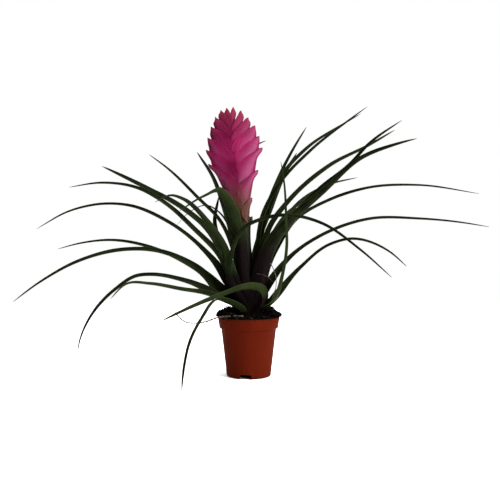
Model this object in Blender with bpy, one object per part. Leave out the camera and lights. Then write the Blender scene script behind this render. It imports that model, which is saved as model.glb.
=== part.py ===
"""Pink-quill bromeliad in a small nursery pot.

World axes: X to the right, Y to the back, Z up. The origin is the middle of the
circle that the pot stands on. Sizes are in millimetres, and a mesh is turned to
metres when it is made. A plant point is (x, y, height above the crown), where the
crown is the middle of the rosette at the soil.
"""

import math

import bmesh
import bpy
from mathutils import Matrix, Vector, noise

MM = 0.001

# ---------------------------------------------------------------- driving sizes
TOUCH_GAP = 0.3                # left between two pieces that touch

POT_HEIGHT = 67.0
POT_RIM_RADIUS = 35.0          # outside, at the lip
POT_COLLAR_HEIGHT = 13.0
POT_COLLAR_DRAFT = 1.8         # how much the collar opens out on its way up
POT_COLLAR_STEP = 2.0          # how far the collar's lower edge stands proud
POT_COLLAR_SLOPE = 0.4         # rise of the collar's underside across that step
POT_WALL = 1.2
POT_WALL_TAPER = 6.1           # how much the wall narrows from the collar to the foot
POT_FLOOR_LIFT = 4.5           # ground to the underside of the floor
POT_FOOT_ROUND = 1.8
POT_FOOT_FLAT = 2.9            # width of the flat ring that the pot stands on
POT_FOOT_FLARE = 1.0           # how much wider that ring is where it meets the floor
POT_SEGMENTS = 42

NOTCH_WIDTH = 14.0
NOTCH_TOP_WIDTH = 10.5
NOTCH_HEIGHT = 3.6
NOTCH_AZIMUTHS = (262.0, 22.0, 142.0)
DRAIN_RADIUS = 2.4
DRAIN_CIRCLE_SHARE = 0.48      # of the foot's radius
DRAIN_AZIMUTHS = (82.0, 202.0, 322.0)
DRAIN_SIDES = 10
CUT_OVERRUN = 2.0              # how far a cutting shape runs past the plastic

CROWN_ABOVE_RIM = 1.0          # the crown's soil level above the pot's lip
SOIL_HEAP = 7.5                # the loose soil round the crown, above the crown
SOIL_FRONT_HEAP = 0.6          # the same at the front, where it is nearly level
SOIL_FRONT_ANGLE = 30.0        # half the level stretch at the front, in degrees
SOIL_HEAP_ANGLE = 65.0         # over this many degrees more it rises to the full heap
SOIL_LUMPS = 1.1
LUMPS_PER_MM = 0.17
SOIL_SEGMENTS = 36
CROWN_SEAT_MARGIN = 1.2        # flat soil left round the outermost sheath

STEM_RADIUS = 2.6
STEM_SOCKET_DEPTH = 11.0
STEM_TOP = 10.0                # above the crown
STEM_FOOT_SHARE = 0.7          # the stem's foot is this share of its radius
STEM_SIDES = 14
SCAPE_RADIUS = 2.0
SCAPE_SIDES = 10
SCAPE_STRAIGHT = 12.0          # upright before it leans to the spike
SCAPE_MIDDLE = (-2.6, 0.0, 62.0)
RACHIS_RADIUS = 1.5
RACHIS_TOP_RADIUS = 1.0

LEAF_THICKNESS = 0.55
LAYER_GAP = 0.35               # between one leaf sheath and the next one in or out
SHEATH_LENGTH = 60.0
SHEATH_HALF_ANGLE = 23.0       # of the outermost sheath, in degrees
INNER_SHEATH_EXTRA = 14.0      # the innermost sheath clasps this much more
OUTER_LAYER = 13
SHEATH_RISE = 3.0              # the sheath stands straight up for this much
ROUTE_INNER_RADIUS = 3.45      # the innermost sheath's outside radius that the routes are drawn for,
ROUTE_LAYER_PITCH = 0.9        # and their step outwards from one layer to the next
BLADE_ROLL = 32.0              # most that a blade leans over towards the front, in degrees
BLADE_SWELL = 1.6              # the blade's lowest part, as a share of its named width
BLADE_TAPER = 0.8              # and how much of that share it loses by the tip
BLADE_TIP_POWER = 2.5          # how late the blade starts to close to its point
BLADE_TIP_ROUND = 0.6
BLADE_CHANNEL = 1.3            # the channel's radius for each half width
BLADE_THINNING = 0.5           # share of the thickness lost by the tip
SHEATH_STATIONS = (0.0, 0.08, 0.24, 0.45, 0.7, 1.0)
BLADE_STATIONS = 7

SPIKE_BASE = (-6.3, 0.0, 113.0)
SPIKE_LENGTH = 122.0
SPIKE_HALF_WIDTH = 31.5
SPIKE_LEAN = -0.21             # sideways run of the midline at its foot
SPIKE_BEND = 0.00075           # and how it straightens up, per millimetre
SPIKE_WIDEST = 0.62            # where it is widest, as a share of the length
SPIKE_FOOT_SHARE = 0.15        # its half width at the foot, as a share of the widest
SPIKE_FLARE_POWER = 1.4
RACHIS_LENGTH = 83.0
BRACT_THICKNESS = 0.45
BRACT_LENGTH = 44.0
BRACT_BASE_LENGTH = 16.0       # the lower bracts are shorter: this much,
BRACT_LENGTH_SHARE = 0.55      # and this share of the height of their tips
BRACT_FOLD = 0.178             # rise of each face per millimetre from the keel
KEEL_ROUND = 0.6
KEEL_ROUND_REACH = 1.5
KEEL_STAND_OFF = 0.9           # the keel's foot, outside the axis
MARGIN_STAND_OFF = 0.2         # the free edge's foot, outside the axis
MARGIN_FOOT_RISE = 3.0
MARGIN_BEYOND = 1.0            # the free edge swings this far past the midline
KEEL_SOLID = 1.4               # solid depth behind the keel
BRACT_MIDDLE = 0.45            # where each face's middle row of points lies
BRACT_STATIONS = (0, 3, 7, 11, 15, 19, 22)
BRACT_STEPS = 24
BUD_CLEARANCE = 0.5            # more than the touching gap, above the axis
BUD_SIDES = 8
BUD_RINGS = ((0.0, 1.0, 0.7), (0.3, 2.0, 0.9), (0.6, 3.4, 1.0), (0.85, 3.0, 1.0))

# Where the bracts' tips stand, as shares of the spike's length.
RIGHT_BRACT_TIPS = (0.165, 0.42, 0.626, 0.731, 0.828, 0.902, 0.967)
LEFT_BRACT_TIPS = (0.264, 0.476, 0.606, 0.717, 0.819, 0.907, 0.971)

# Each leaf: sheath layer, sheath azimuth, blade width, then the route it takes.
# Layer 0 is against the stem. The azimuth is in degrees from +X towards +Y.
LEAVES = {
    "leaf_left_01": (12, 190, 3.5, ((-34, -11, 22), (-75, -24, 42), (-105, -34, 48), (-120, -39, 47),
                                    (-142, -46, 33), (-162, -53, 12), (-177, -58, -19),
                                    (-180, -59, -35))),
    "leaf_left_02": (13, 216, 4.0, ((-34, -21, 22), (-73, -46, 33), (-103, -64, 40), (-124, -78, 41),
                                    (-139, -87, 27))),
    "leaf_left_03": (11, 178, 3.5, ((-30, 2, 22), (-61, 3, 54), (-95, 5, 70), (-147, 8, 73),
                                    (-193, 10, 61), (-240, 13, 36), (-271, 14, 14))),
    "leaf_left_04": (10, 154, 5.0, ((-33, 12, 27), (-51, 18, 45), (-72, 26, 57), (-117, 43, 76),
                                    (-162, 59, 84), (-209, 76, 80), (-239, 87, 73))),
    "leaf_left_05": (9, 178, 4.0, ((-30, 2, 46), (-55, 4, 77), (-95, 7, 107), (-132, 9, 123),
                                   (-161, 11, 126), (-205, 14, 118), (-244, 17, 98))),
    "leaf_left_06": (8, 170, 4.5, ((-33, 8, 66), (-62, 15, 96), (-97, 24, 127), (-130, 32, 145),
                                   (-173, 43, 152), (-216, 54, 148))),
    "leaf_left_07": (7, 205, 5.5, ((-21, -15, 50), (-29, -20, 80), (-47, -32, 107), (-69, -46, 128),
                                   (-81, -54, 132), (-97, -65, 125))),
    "leaf_left_08": (6, 190, 5.0, ((-19, -5, 52), (-30, -9, 69), (-51, -15, 101), (-75, -22, 121),
                                   (-107, -31, 139), (-156, -45, 164))),
    "leaf_left_09": (4, 196, 2.0, ((-10, -4, 52), (-23, -11, 102), (-32, -15, 115), (-45, -21, 123),
                                   (-66, -31, 114), (-77, -36, 102))),
    "leaf_left_10": (5, 163, 2.8, ((-19, 11, 76), (-33, 19, 106), (-60, 34, 134), (-95, 55, 168),
                                   (-122, 71, 189))),
    "leaf_back_01": (9, 122, 4.5, ((-31, 26, 73), (-40, 33, 108), (-35, 29, 136))),
    "leaf_back_02": (6, 112, 3.5, ((-15, 24, 73), (-27, 43, 115), (-41, 66, 155), (-66, 106, 196))),
    "leaf_back_03": (3, 92, 4.0, ((5, 18, 131), (8, 31, 179), (21, 79, 207))),
    "leaf_back_04": (5, 68, 3.5, ((9, 16, 75), (28, 48, 127), (47, 82, 171), (61, 105, 195))),
    "leaf_back_05": (9, 67, 4.5, ((22, 22, 78), (43, 43, 113), (69, 69, 134))),
    "leaf_back_06": (8, 88, 5.0, ((-1, 22, 60), (-1, 50, 98), (2, 85, 113), (4, 110, 106))),
    "leaf_back_07": (12, 100, 5.0, ((-4, 26, 20), (-8, 52, 40), (-11, 82, 38), (-13, 108, 20))),
    "leaf_right_01": (12, 355, 4.0, ((27, -16, 19), (56, -32, 55), (86, -50, 81), (106, -61, 87),
                                     (143, -83, 74), (158, -91, 60))),
    "leaf_right_02": (11, 12, 4.0, ((22, -1, 33), (31, -1, 47), (48, -2, 67), (91, -3, 95),
                                    (136, -5, 109), (191, -7, 109), (236, -8, 105), (268, -9, 100))),
    "leaf_right_03": (10, 346, 6.5, ((15, -4, 28), (22, -8, 50), (35, -13, 82), (56, -20, 113),
                                     (83, -30, 139), (120, -44, 173), (158, -57, 187), (174, -63, 191))),
    "leaf_right_04": (9, 10, 4.0, ((20, 2, 50), (35, 4, 80), (52, 6, 106), (93, 10, 131),
                                   (139, 15, 145), (198, 21, 148), (268, 28, 139))),
    "leaf_right_05": (8, 28, 4.0, ((15, 9, 52), (36, 23, 99), (60, 38, 129), (92, 57, 149),
                                   (135, 84, 162))),
    "leaf_right_06": (7, 350, 4.5, ((15, -3, 52), (46, -6, 106), (79, -11, 141), (112, -16, 168),
                                    (133, -19, 191), (167, -23, 216))),
    "leaf_right_07": (5, 2, 4.5, ((16, 1, 74), (26, 1, 102), (47, 2, 130), (92, 5, 169),
                                  (138, 7, 193), (166, 9, 210))),
    "leaf_right_08": (3, 20, 3.5, ((12, 6, 80), (25, 11, 125), (41, 20, 162), (66, 32, 190),
                                   (116, 56, 225), (136, 67, 238))),
    "leaf_right_09": (2, 2, 3.5, ((11, 1, 80), (16, 3, 111), (33, 7, 145), (70, 15, 186),
                                  (117, 25, 224), (138, 29, 240))),
    "leaf_right_10": (4, 36, 3.5, ((12, 9, 79), (19, 15, 114), (35, 27, 157), (52, 41, 191),
                                   (69, 54, 220))),
    "leaf_front_02": (12, 298, 7.0, ((18, -24, 22), (14, -30, 33), (4, -36, 37), (-20, -46, 30),
                                      (-46, -58, 21), (-89, -75, 3))),
    "leaf_front_03": (13, 326, 3.5, ((29, -28, 20), (37, -40, 48), (41, -52, 81), (40, -60, 102),
                                     (36, -72, 151), (33, -75, 166))),
    "leaf_front_04": (9, 250, 4.0, ((-22, -20, 47), (-17, -26, 78), (-6, -35, 98), (17, -47, 109),
                                    (38, -57, 112), (73, -74, 104), (111, -92, 77), (140, -106, 50))),
    "leaf_front_05": (5, 262, 10.0, ((-6, -12, 41), (-12, -20, 95), (-20, -28, 122), (-31, -38, 138),
                                     (-46, -50, 132), (-71, -70, 116))),
}

# The one that hangs over the rim: heights below the crown are shares of its drop.
HANGING_LEAF = "leaf_front_01"
HANGING_LAYER = 13
HANGING_AZIMUTH = 252
HANGING_WIDTH = 3.5
HANGING_RISE = ((-25, -26, 19), (-33, -35, 21), (-48, -55, 3))
HANGING_FALL = ((-59, -75, 0.28), (-65, -95, 0.78), (-66, -102, 1.0))
HANGING_TIP_CLEARANCE = 3.0    # above the ground

# Narrower sheaths, in degrees, where two leaves share one layer side by side.
SHEATH_LIMITS = {"leaf_front_01": 17.0, "leaf_front_02": 20.0, "leaf_front_03": 11.0,
                 "leaf_right_01": 17.0, "leaf_left_01": 16.0, "leaf_left_02": 14.0,
                 "leaf_left_06": 23.0}

DRY_STRAND_RADIUS = 0.5
DRY_STRAND_THINNING = 0.6
DRY_STRAND_SIDES = 6
DRY_STRAND = ((-6, -24, 2), (-20, -27, 2.4), (-33, -30, 1.4), (-47, -33, -3), (-58, -36, -4),
              (-67, -38, -3), (-76, -40, 4), (-79, -41, 8))

# ------------------------------------------------------------- sizes that follow
CROWN_Z = POT_HEIGHT + CROWN_ABOVE_RIM
LAYER_PITCH = LEAF_THICKNESS + LAYER_GAP
POT_COLLAR_RADIUS = POT_RIM_RADIUS - POT_COLLAR_DRAFT         # outside, at its lower edge
POT_WALL_TOP_RADIUS = POT_COLLAR_RADIUS - POT_COLLAR_STEP     # outside, under the collar
POT_FOOT_RADIUS = POT_WALL_TOP_RADIUS - POT_WALL_TAPER        # outside, above the rounded foot
POT_COLLAR_Z = POT_HEIGHT - POT_COLLAR_HEIGHT
POT_FLOOR_TOP = POT_FLOOR_LIFT + POT_WALL

# ---------------------------------------------------------------------- colours
TERRACOTTA_PLASTIC = ((0.23, 0.045, 0.022), 0.55)
PEAT = ((0.012, 0.008, 0.006), 0.95)
LEAF_GREEN = ((0.022, 0.045, 0.018), 0.5)
STEM_GREEN = ((0.20, 0.24, 0.10), 0.55)
BRACT_PINK = ((0.50, 0.055, 0.25), 0.5)
DRY_TAN = ((0.16, 0.09, 0.06), 0.85)


def material(name, colour_and_roughness):
    """One Principled material, made once and shared."""
    known = bpy.data.materials.get(name)
    if known:
        return known
    colour, roughness = colour_and_roughness
    made = bpy.data.materials.new(name)
    made.use_nodes = True
    shader = made.node_tree.nodes["Principled BSDF"]
    shader.inputs["Base Color"].default_value = (*colour, 1.0)
    shader.inputs["Roughness"].default_value = roughness
    shader.inputs["Metallic"].default_value = 0.0
    return made


def finish_object(name, bm, mat, smooth=True):
    """Turn a bmesh in millimetres into a named object in metres."""
    bmesh.ops.recalc_face_normals(bm, faces=bm.faces)
    bmesh.ops.scale(bm, vec=(MM, MM, MM), verts=bm.verts)
    mesh = bpy.data.meshes.new(name)
    bm.to_mesh(mesh)
    bm.free()
    mesh.materials.append(mat)
    if smooth:
        mesh.shade_smooth()
        mesh.set_sharp_from_angle(angle=math.radians(40))
    made = bpy.data.objects.new(name, mesh)
    bpy.context.scene.collection.objects.link(made)
    return made


def loft(rings, start_point=None, end_point=None):
    """Skin a row of closed rings; each end is a flat cap or comes to a point."""
    bm = bmesh.new()
    loops = [[bm.verts.new(point) for point in ring] for ring in rings]
    count = len(rings[0])
    for lower, upper in zip(loops, loops[1:]):
        for i in range(count):
            j = (i + 1) % count
            bm.faces.new((lower[i], lower[j], upper[j], upper[i]))
    for loop, point in ((loops[0], start_point), (loops[-1], end_point)):
        if point is None:
            bm.faces.new(loop)
            continue
        tip = bm.verts.new(point)
        for i in range(count):
            bm.faces.new((loop[i], loop[(i + 1) % count], tip))
    return bm


def smooth_route(points, per_span=12):
    """A smooth curve through the points, as many short straight steps."""
    points = [Vector(point) for point in points]
    tangents = []
    for i, point in enumerate(points):
        before = points[max(i - 1, 0)]
        after = points[min(i + 1, len(points) - 1)]
        back, ahead = (point - before).length, (after - point).length
        if back == 0.0 or ahead == 0.0:
            tangents.append((after - before).normalized())
            continue
        slope = (point - before) / back * ahead + (after - point) / ahead * back
        tangents.append(slope / (back + ahead))
    route = [points[0]]
    for i in range(len(points) - 1):
        start, end = points[i], points[i + 1]
        reach = (end - start).length
        for step in range(1, per_span + 1):
            t = step / per_span
            route.append(start * (2 * t**3 - 3 * t**2 + 1) + end * (3 * t**2 - 2 * t**3)
                         + tangents[i] * reach * (t**3 - 2 * t**2 + t)
                         + tangents[i + 1] * reach * (t**3 - t**2))
    return route


def at_distances(route, distances):
    """The points of a route that lie at the given distances along it."""
    found = []
    travelled = 0.0
    wanted = list(distances)
    for start, end in zip(route, route[1:]):
        step = (end - start).length
        while wanted and wanted[0] <= travelled + step + 1e-9:
            share = (wanted.pop(0) - travelled) / step if step else 0.0
            found.append(start.lerp(end, min(max(share, 0.0), 1.0)))
        travelled += step
    while wanted:
        found.append(route[-1].copy())
        wanted.pop(0)
    return found


def route_length(route):
    return sum((end - start).length for start, end in zip(route, route[1:]))


def ease(share):
    """0 to 1 with a gentle start and end."""
    share = min(max(share, 0.0), 1.0)
    return share * share * (3.0 - 2.0 * share)


def frames_along(points, first_up):
    """Travel direction, side and upper face at each point, without twist."""
    frames = []
    up = first_up.normalized()
    for i in range(len(points)):
        ahead = (points[min(i + 1, len(points) - 1)] - points[max(i - 1, 0)]).normalized()
        up = (up - ahead * up.dot(ahead)).normalized()
        frames.append((ahead, ahead.cross(up), up))
    return frames


def tube(name, route, radii, sides, mat):
    """A round stalk along a route, with its own radius at each point."""
    rings = []
    for point, radius, (_, side, up) in zip(route, radii, frames_along(route, Vector((0, -1, 0)))):
        turns = [2 * math.pi * i / sides for i in range(sides)]
        rings.append([point + side * radius * math.cos(a) + up * radius * math.sin(a) for a in turns])
    return finish_object(name, loft(rings), mat)


# --------------------------------------------------------------------------- pot
def turned(profile, segments):
    """Spin an (r, z) profile that starts and ends on the axis."""
    bm = bmesh.new()
    verts = [bm.verts.new((radius, 0.0, z)) for radius, z in profile]
    edges = [bm.edges.new(pair) for pair in zip(verts, verts[1:])]
    bmesh.ops.spin(bm, geom=verts + edges, cent=(0, 0, 0), axis=(0, 0, 1), dvec=(0, 0, 0),
                   angle=2 * math.pi, steps=segments, use_merge=True, use_duplicate=False)
    bmesh.ops.remove_doubles(bm, verts=bm.verts, dist=0.0005)
    return bm


def corner(centre_radius, centre_z, size, start, end, steps):
    """Points of a round corner, in degrees from the outward direction."""
    angles = [math.radians(start + (end - start) * i / steps) for i in range(steps + 1)]
    return [(centre_radius + size * math.cos(a), centre_z + size * math.sin(a)) for a in angles]


def wall_radius(z):
    """Outside radius of the tapered wall under the collar."""
    share = (z - POT_FOOT_ROUND) / (POT_COLLAR_Z - POT_FOOT_ROUND)
    return POT_FOOT_RADIUS + (POT_WALL_TOP_RADIUS - POT_FOOT_RADIUS) * share


def cutter(name, bm, target):
    """A hidden shape that is cut out of the target."""
    made = finish_object(name, bm, material("cutter", TERRACOTTA_PLASTIC), smooth=False)
    made.hide_render = True
    made.display_type = "WIRE"
    cut = target.modifiers.new(name, "BOOLEAN")
    cut.operation = "DIFFERENCE"
    cut.solver = "EXACT"
    cut.object = made


def notch_shape(azimuth):
    """A wedge-sided gap through the foot ring."""
    inner = POT_FOOT_RADIUS - POT_FOOT_ROUND - POT_FOOT_FLAT - POT_FOOT_FLARE - CUT_OVERRUN
    outer = POT_FOOT_RADIUS + CUT_OVERRUN
    low, high = -CUT_OVERRUN, NOTCH_HEIGHT
    flare = (NOTCH_WIDTH - NOTCH_TOP_WIDTH) / 2 / NOTCH_HEIGHT
    half_low, half_high = NOTCH_TOP_WIDTH / 2 + flare * (high - low), NOTCH_TOP_WIDTH / 2
    rings = [[(reach, -half_low, low), (reach, half_low, low), (reach, half_high, high),
              (reach, -half_high, high)] for reach in (inner, outer)]
    bm = loft(rings)
    bmesh.ops.rotate(bm, verts=bm.verts, cent=(0, 0, 0),
                     matrix=Matrix.Rotation(math.radians(azimuth), 3, "Z"))
    return bm


def drain_shape(azimuth):
    """A round hole through the floor."""
    turn = math.radians(azimuth)
    centre = Vector((math.cos(turn), math.sin(turn), 0)) * DRAIN_CIRCLE_SHARE * POT_FOOT_RADIUS
    rings = []
    for z in (POT_FLOOR_LIFT - CUT_OVERRUN, POT_FLOOR_TOP + CUT_OVERRUN):
        angles = [2 * math.pi * i / DRAIN_SIDES for i in range(DRAIN_SIDES)]
        rings.append([centre + Vector((DRAIN_RADIUS * math.cos(a), DRAIN_RADIUS * math.sin(a), z))
                      for a in angles])
    return loft(rings)


def build_pot():
    foot_outer = POT_FOOT_RADIUS - POT_FOOT_ROUND
    foot_inner = foot_outer - POT_FOOT_FLAT
    lip = POT_WALL / 2
    collar_low_z = POT_COLLAR_Z + POT_COLLAR_SLOPE
    profile = [(0.0, POT_FLOOR_LIFT), (foot_inner - POT_FOOT_FLARE, POT_FLOOR_LIFT), (foot_inner, 0.0)]
    profile += corner(foot_outer, POT_FOOT_ROUND, POT_FOOT_ROUND, -90, 0, 3)
    profile += [(POT_WALL_TOP_RADIUS, POT_COLLAR_Z), (POT_COLLAR_RADIUS, collar_low_z)]
    profile += corner(POT_RIM_RADIUS - lip, POT_HEIGHT - lip, lip, 0, 180, 4)
    profile += [(POT_COLLAR_RADIUS - POT_WALL, collar_low_z + POT_WALL),
                (POT_WALL_TOP_RADIUS - POT_WALL, POT_COLLAR_Z + POT_WALL),
                (wall_radius(POT_FLOOR_TOP) - POT_WALL, POT_FLOOR_TOP),
                (0.0, POT_FLOOR_TOP)]
    plastic = material("terracotta_plastic", TERRACOTTA_PLASTIC)
    pot = finish_object("pot", turned(profile, POT_SEGMENTS), plastic)
    for i, azimuth in enumerate(NOTCH_AZIMUTHS):
        cutter(f"foot_notch_{i + 1}", notch_shape(azimuth), pot)
    for i, azimuth in enumerate(DRAIN_AZIMUTHS):
        cutter(f"drain_hole_{i + 1}", drain_shape(azimuth), pot)


# -------------------------------------------------------------------------- soil
def sheath_radius(layer):
    """Outside radius of a leaf sheath at the crown."""
    return STEM_RADIUS + TOUCH_GAP + LEAF_THICKNESS + layer * LAYER_PITCH


def route_shift(layer):
    """How far outwards a leaf's route moves when the sheaths under it are thicker than drawn."""
    return sheath_radius(layer) - (ROUTE_INNER_RADIUS + layer * ROUTE_LAYER_PITCH)


def heap_height(azimuth):
    """Height of the loose soil above the crown: level at the front, heaped elsewhere."""
    from_front = abs((math.degrees(azimuth) + 90.0 + 180.0) % 360.0 - 180.0)
    share = ease((from_front - SOIL_FRONT_ANGLE) / SOIL_HEAP_ANGLE)
    return SOIL_FRONT_HEAP + (SOIL_HEAP - SOIL_FRONT_HEAP) * share


def lump(radius, azimuth):
    """Seeded roughness of the loose surface."""
    place = Vector((radius * math.cos(azimuth), radius * math.sin(azimuth), 3.0))
    return SOIL_LUMPS * noise.noise(place * LUMPS_PER_MM)


def build_soil():
    """Peat that fills the pot: level where the sheaths stand, heaped up round them."""
    seat = sheath_radius(OUTER_LAYER) + CROWN_SEAT_MARGIN
    inside = POT_WALL + TOUCH_GAP
    foot = wall_radius(POT_FLOOR_TOP) - inside
    under_collar = POT_WALL_TOP_RADIUS - inside
    over_collar = POT_COLLAR_RADIUS - inside
    lip = POT_RIM_RADIUS - inside
    socket = STEM_RADIUS + TOUCH_GAP
    floor = POT_FLOOR_TOP + TOUCH_GAP
    shelf = POT_COLLAR_Z + POT_COLLAR_SLOPE + POT_WALL + 2 * TOUCH_GAP
    crown = CROWN_Z - TOUCH_GAP
    span = lip - seat
    turns = [2 * math.pi * i / SOIL_SEGMENTS for i in range(SOIL_SEGMENTS)]

    def ring(radius, height, wavy=0.0, lift=0.0):
        row = []
        for a in turns:
            z = height + lift * heap_height(a) + wavy * lump(radius, a)
            row.append((radius * math.cos(a), radius * math.sin(a), z))
        return row

    rings = [
        ring(foot, floor),
        ring(under_collar, POT_COLLAR_Z - TOUCH_GAP),
        ring(under_collar, shelf),
        ring(over_collar, shelf),
        ring(lip - TOUCH_GAP, POT_HEIGHT - 1.0),
        ring(lip - 2 * TOUCH_GAP, POT_HEIGHT + 0.6, 0.3, 0.35),
        ring(seat + 0.78 * span, CROWN_Z, 1.0, 0.85),
        ring(seat + 0.5 * span, CROWN_Z, 1.0, 1.0),
        ring(seat + 0.25 * span, CROWN_Z, 0.8, 0.55),
        ring(seat, crown),
        ring(socket, crown),
        ring(socket, crown - STEM_SOCKET_DEPTH),
    ]
    bm = loft(rings, start_point=(0, 0, floor), end_point=(0, 0, crown - STEM_SOCKET_DEPTH))
    finish_object("potting_soil", bm, material("peat", PEAT))


# ------------------------------------------------------------------------- plant
def crown_point(point):
    """A plant point in the pot's frame."""
    x, y, height = point
    return Vector((x, y, CROWN_Z + height))


def build_stem():
    """The short stem in its socket in the soil; the sheaths clasp it."""
    route = [crown_point((0, 0, height)) for height in (-STEM_SOCKET_DEPTH, 0.0, STEM_TOP)]
    radii = (STEM_RADIUS * STEM_FOOT_SHARE, STEM_RADIUS, STEM_RADIUS)
    tube("stem", route, radii, STEM_SIDES, material("stem_green", STEM_GREEN))


def midline(along):
    """A point of the spike's midline, this far above its foot."""
    x, y, height = SPIKE_BASE
    return Vector((x + SPIKE_LEAN * along + SPIKE_BEND * along**2, y, height + along))


def build_scape():
    """The flower stalk, from the top of the stem to the end of the spike's axis."""
    foot = Vector((0, 0, STEM_TOP + TOUCH_GAP))
    points = [foot, Vector((0, 0, STEM_TOP + SCAPE_STRAIGHT)), Vector(SCAPE_MIDDLE)]
    points += [midline(share * RACHIS_LENGTH) for share in (0.0, 0.25, 0.5, 0.75, 1.0)]
    route = smooth_route(points, 2)
    radii = []
    for point in route:
        along = (point.z - SPIKE_BASE[2]) / RACHIS_LENGTH
        if along < 0.0:
            radii.append(SCAPE_RADIUS + (RACHIS_RADIUS - SCAPE_RADIUS) * ease(1.0 + along * 2.0))
        else:
            radii.append(RACHIS_RADIUS + (RACHIS_TOP_RADIUS - RACHIS_RADIUS) * along)
    route = [crown_point(point) for point in route]
    tube("flower_stalk", route, radii, SCAPE_SIDES, material("stem_green", STEM_GREEN))


def rolled(side, up, degrees):
    """A leaf section's side and upper face, with the face leant towards the front."""
    turn = math.radians(degrees) * (-1.0 if side.y > 0.0 else 1.0)
    return side * math.cos(turn) - up * math.sin(turn), up * math.cos(turn) + side * math.sin(turn)


def leaf_sheath_half_angle(name, layer):
    widest = SHEATH_HALF_ANGLE + INNER_SHEATH_EXTRA * (1.0 - layer / OUTER_LAYER)
    return math.radians(min(widest, SHEATH_LIMITS.get(name, 90.0)))


def blade_half_width(width, along):
    """Half the blade's width at a share of the way from the sheath to the tip."""
    closing = (1.0 - along**BLADE_TIP_POWER) ** BLADE_TIP_ROUND
    return width / 2 * (BLADE_SWELL - BLADE_TAPER * along) * closing


def build_leaf(name, layer, azimuth, width, points):
    """A strap that clasps the stem at its foot and narrows to a channelled blade."""
    turn = math.radians(azimuth)
    outward = Vector((math.cos(turn), math.sin(turn), 0.0))
    radius = sheath_radius(layer)
    foot = outward * radius
    shift = outward * route_shift(layer)
    route = smooth_route([foot, foot + Vector((0, 0, SHEATH_RISE)), *(Vector(p) + shift for p in points)])
    length = route_length(route)
    distances = [share * SHEATH_LENGTH for share in SHEATH_STATIONS]
    blade = length - SHEATH_LENGTH
    distances += [SHEATH_LENGTH + blade * (i + 1) / (BLADE_STATIONS + 1) for i in range(BLADE_STATIONS)]
    spine = at_distances(route, distances + [length])
    frames = frames_along(spine, -outward)
    sheath_half = leaf_sheath_half_angle(name, layer) * radius
    rings = []
    for distance, point, (_, side, up) in zip(distances, spine, frames):
        narrowing = ease(distance / SHEATH_LENGTH)
        along = max(distance - SHEATH_LENGTH, 0.0) / blade
        half = sheath_half + (blade_half_width(width, along) - sheath_half) * narrowing
        clasp = math.hypot(point.x, point.y)
        opening = ease(distance / SHEATH_LENGTH - 0.2)
        bend = 1.0 / ((1.0 - opening) / clasp + opening / (BLADE_CHANNEL * half))
        thick = LEAF_THICKNESS * (1.0 - BLADE_THINNING * along)
        leaning = ease(along * 2.0 + narrowing - 0.8)
        side, up = rolled(side, up, BLADE_ROLL * abs(side.y) * leaning)
        outer = [section_point(bend, 0.0, half * j / 2) for j in (-2, -1, 0, 1, 2)]
        inner = [section_point(bend, thick, half * j / 2) for j in (1, 0, -1)]
        rings.append([crown_point(point + side * s + up * u) for s, u in outer + inner])
    bm = loft(rings, end_point=crown_point(spine[-1]))
    finish_object(name, bm, material("leaf_green", LEAF_GREEN))


def section_point(bend, depth, arc):
    """A point of a curved strip: how far along the arc, and how deep inside it."""
    turn = arc / bend
    return (bend - depth) * math.sin(turn), bend - (bend - depth) * math.cos(turn)


def build_leaves():
    for name, (layer, azimuth, width, points) in LEAVES.items():
        build_leaf(name, layer, azimuth, width, points)
    drop = CROWN_Z - HANGING_TIP_CLEARANCE
    fall = [(x, y, -drop * share) for x, y, share in HANGING_FALL]
    build_leaf(HANGING_LEAF, HANGING_LAYER, HANGING_AZIMUTH, HANGING_WIDTH, (*HANGING_RISE, *fall))


# ------------------------------------------------------------------ flower spike
def spike_half_width(share):
    """The spike's outline: nearly straight below its widest place, round above."""
    if share > SPIKE_WIDEST:
        reach = (share - SPIKE_WIDEST) / (1.0 - SPIKE_WIDEST)
        return SPIKE_HALF_WIDTH * math.sqrt(max(1.0 - reach**2, 0.0))
    reach = (SPIKE_WIDEST - share) / SPIKE_WIDEST
    return SPIKE_HALF_WIDTH * (1.0 - (1.0 - SPIKE_FOOT_SHARE) * reach**SPIKE_FLARE_POWER)


def bend_between(start, middle, end, steps):
    """Points of a quadratic curve in the spike's plane."""
    points = []
    for i in range(steps + 1):
        t = i / steps
        points.append(start * (1 - t) ** 2 + middle * 2 * t * (1 - t) + end * t**2)
    return points


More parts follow.
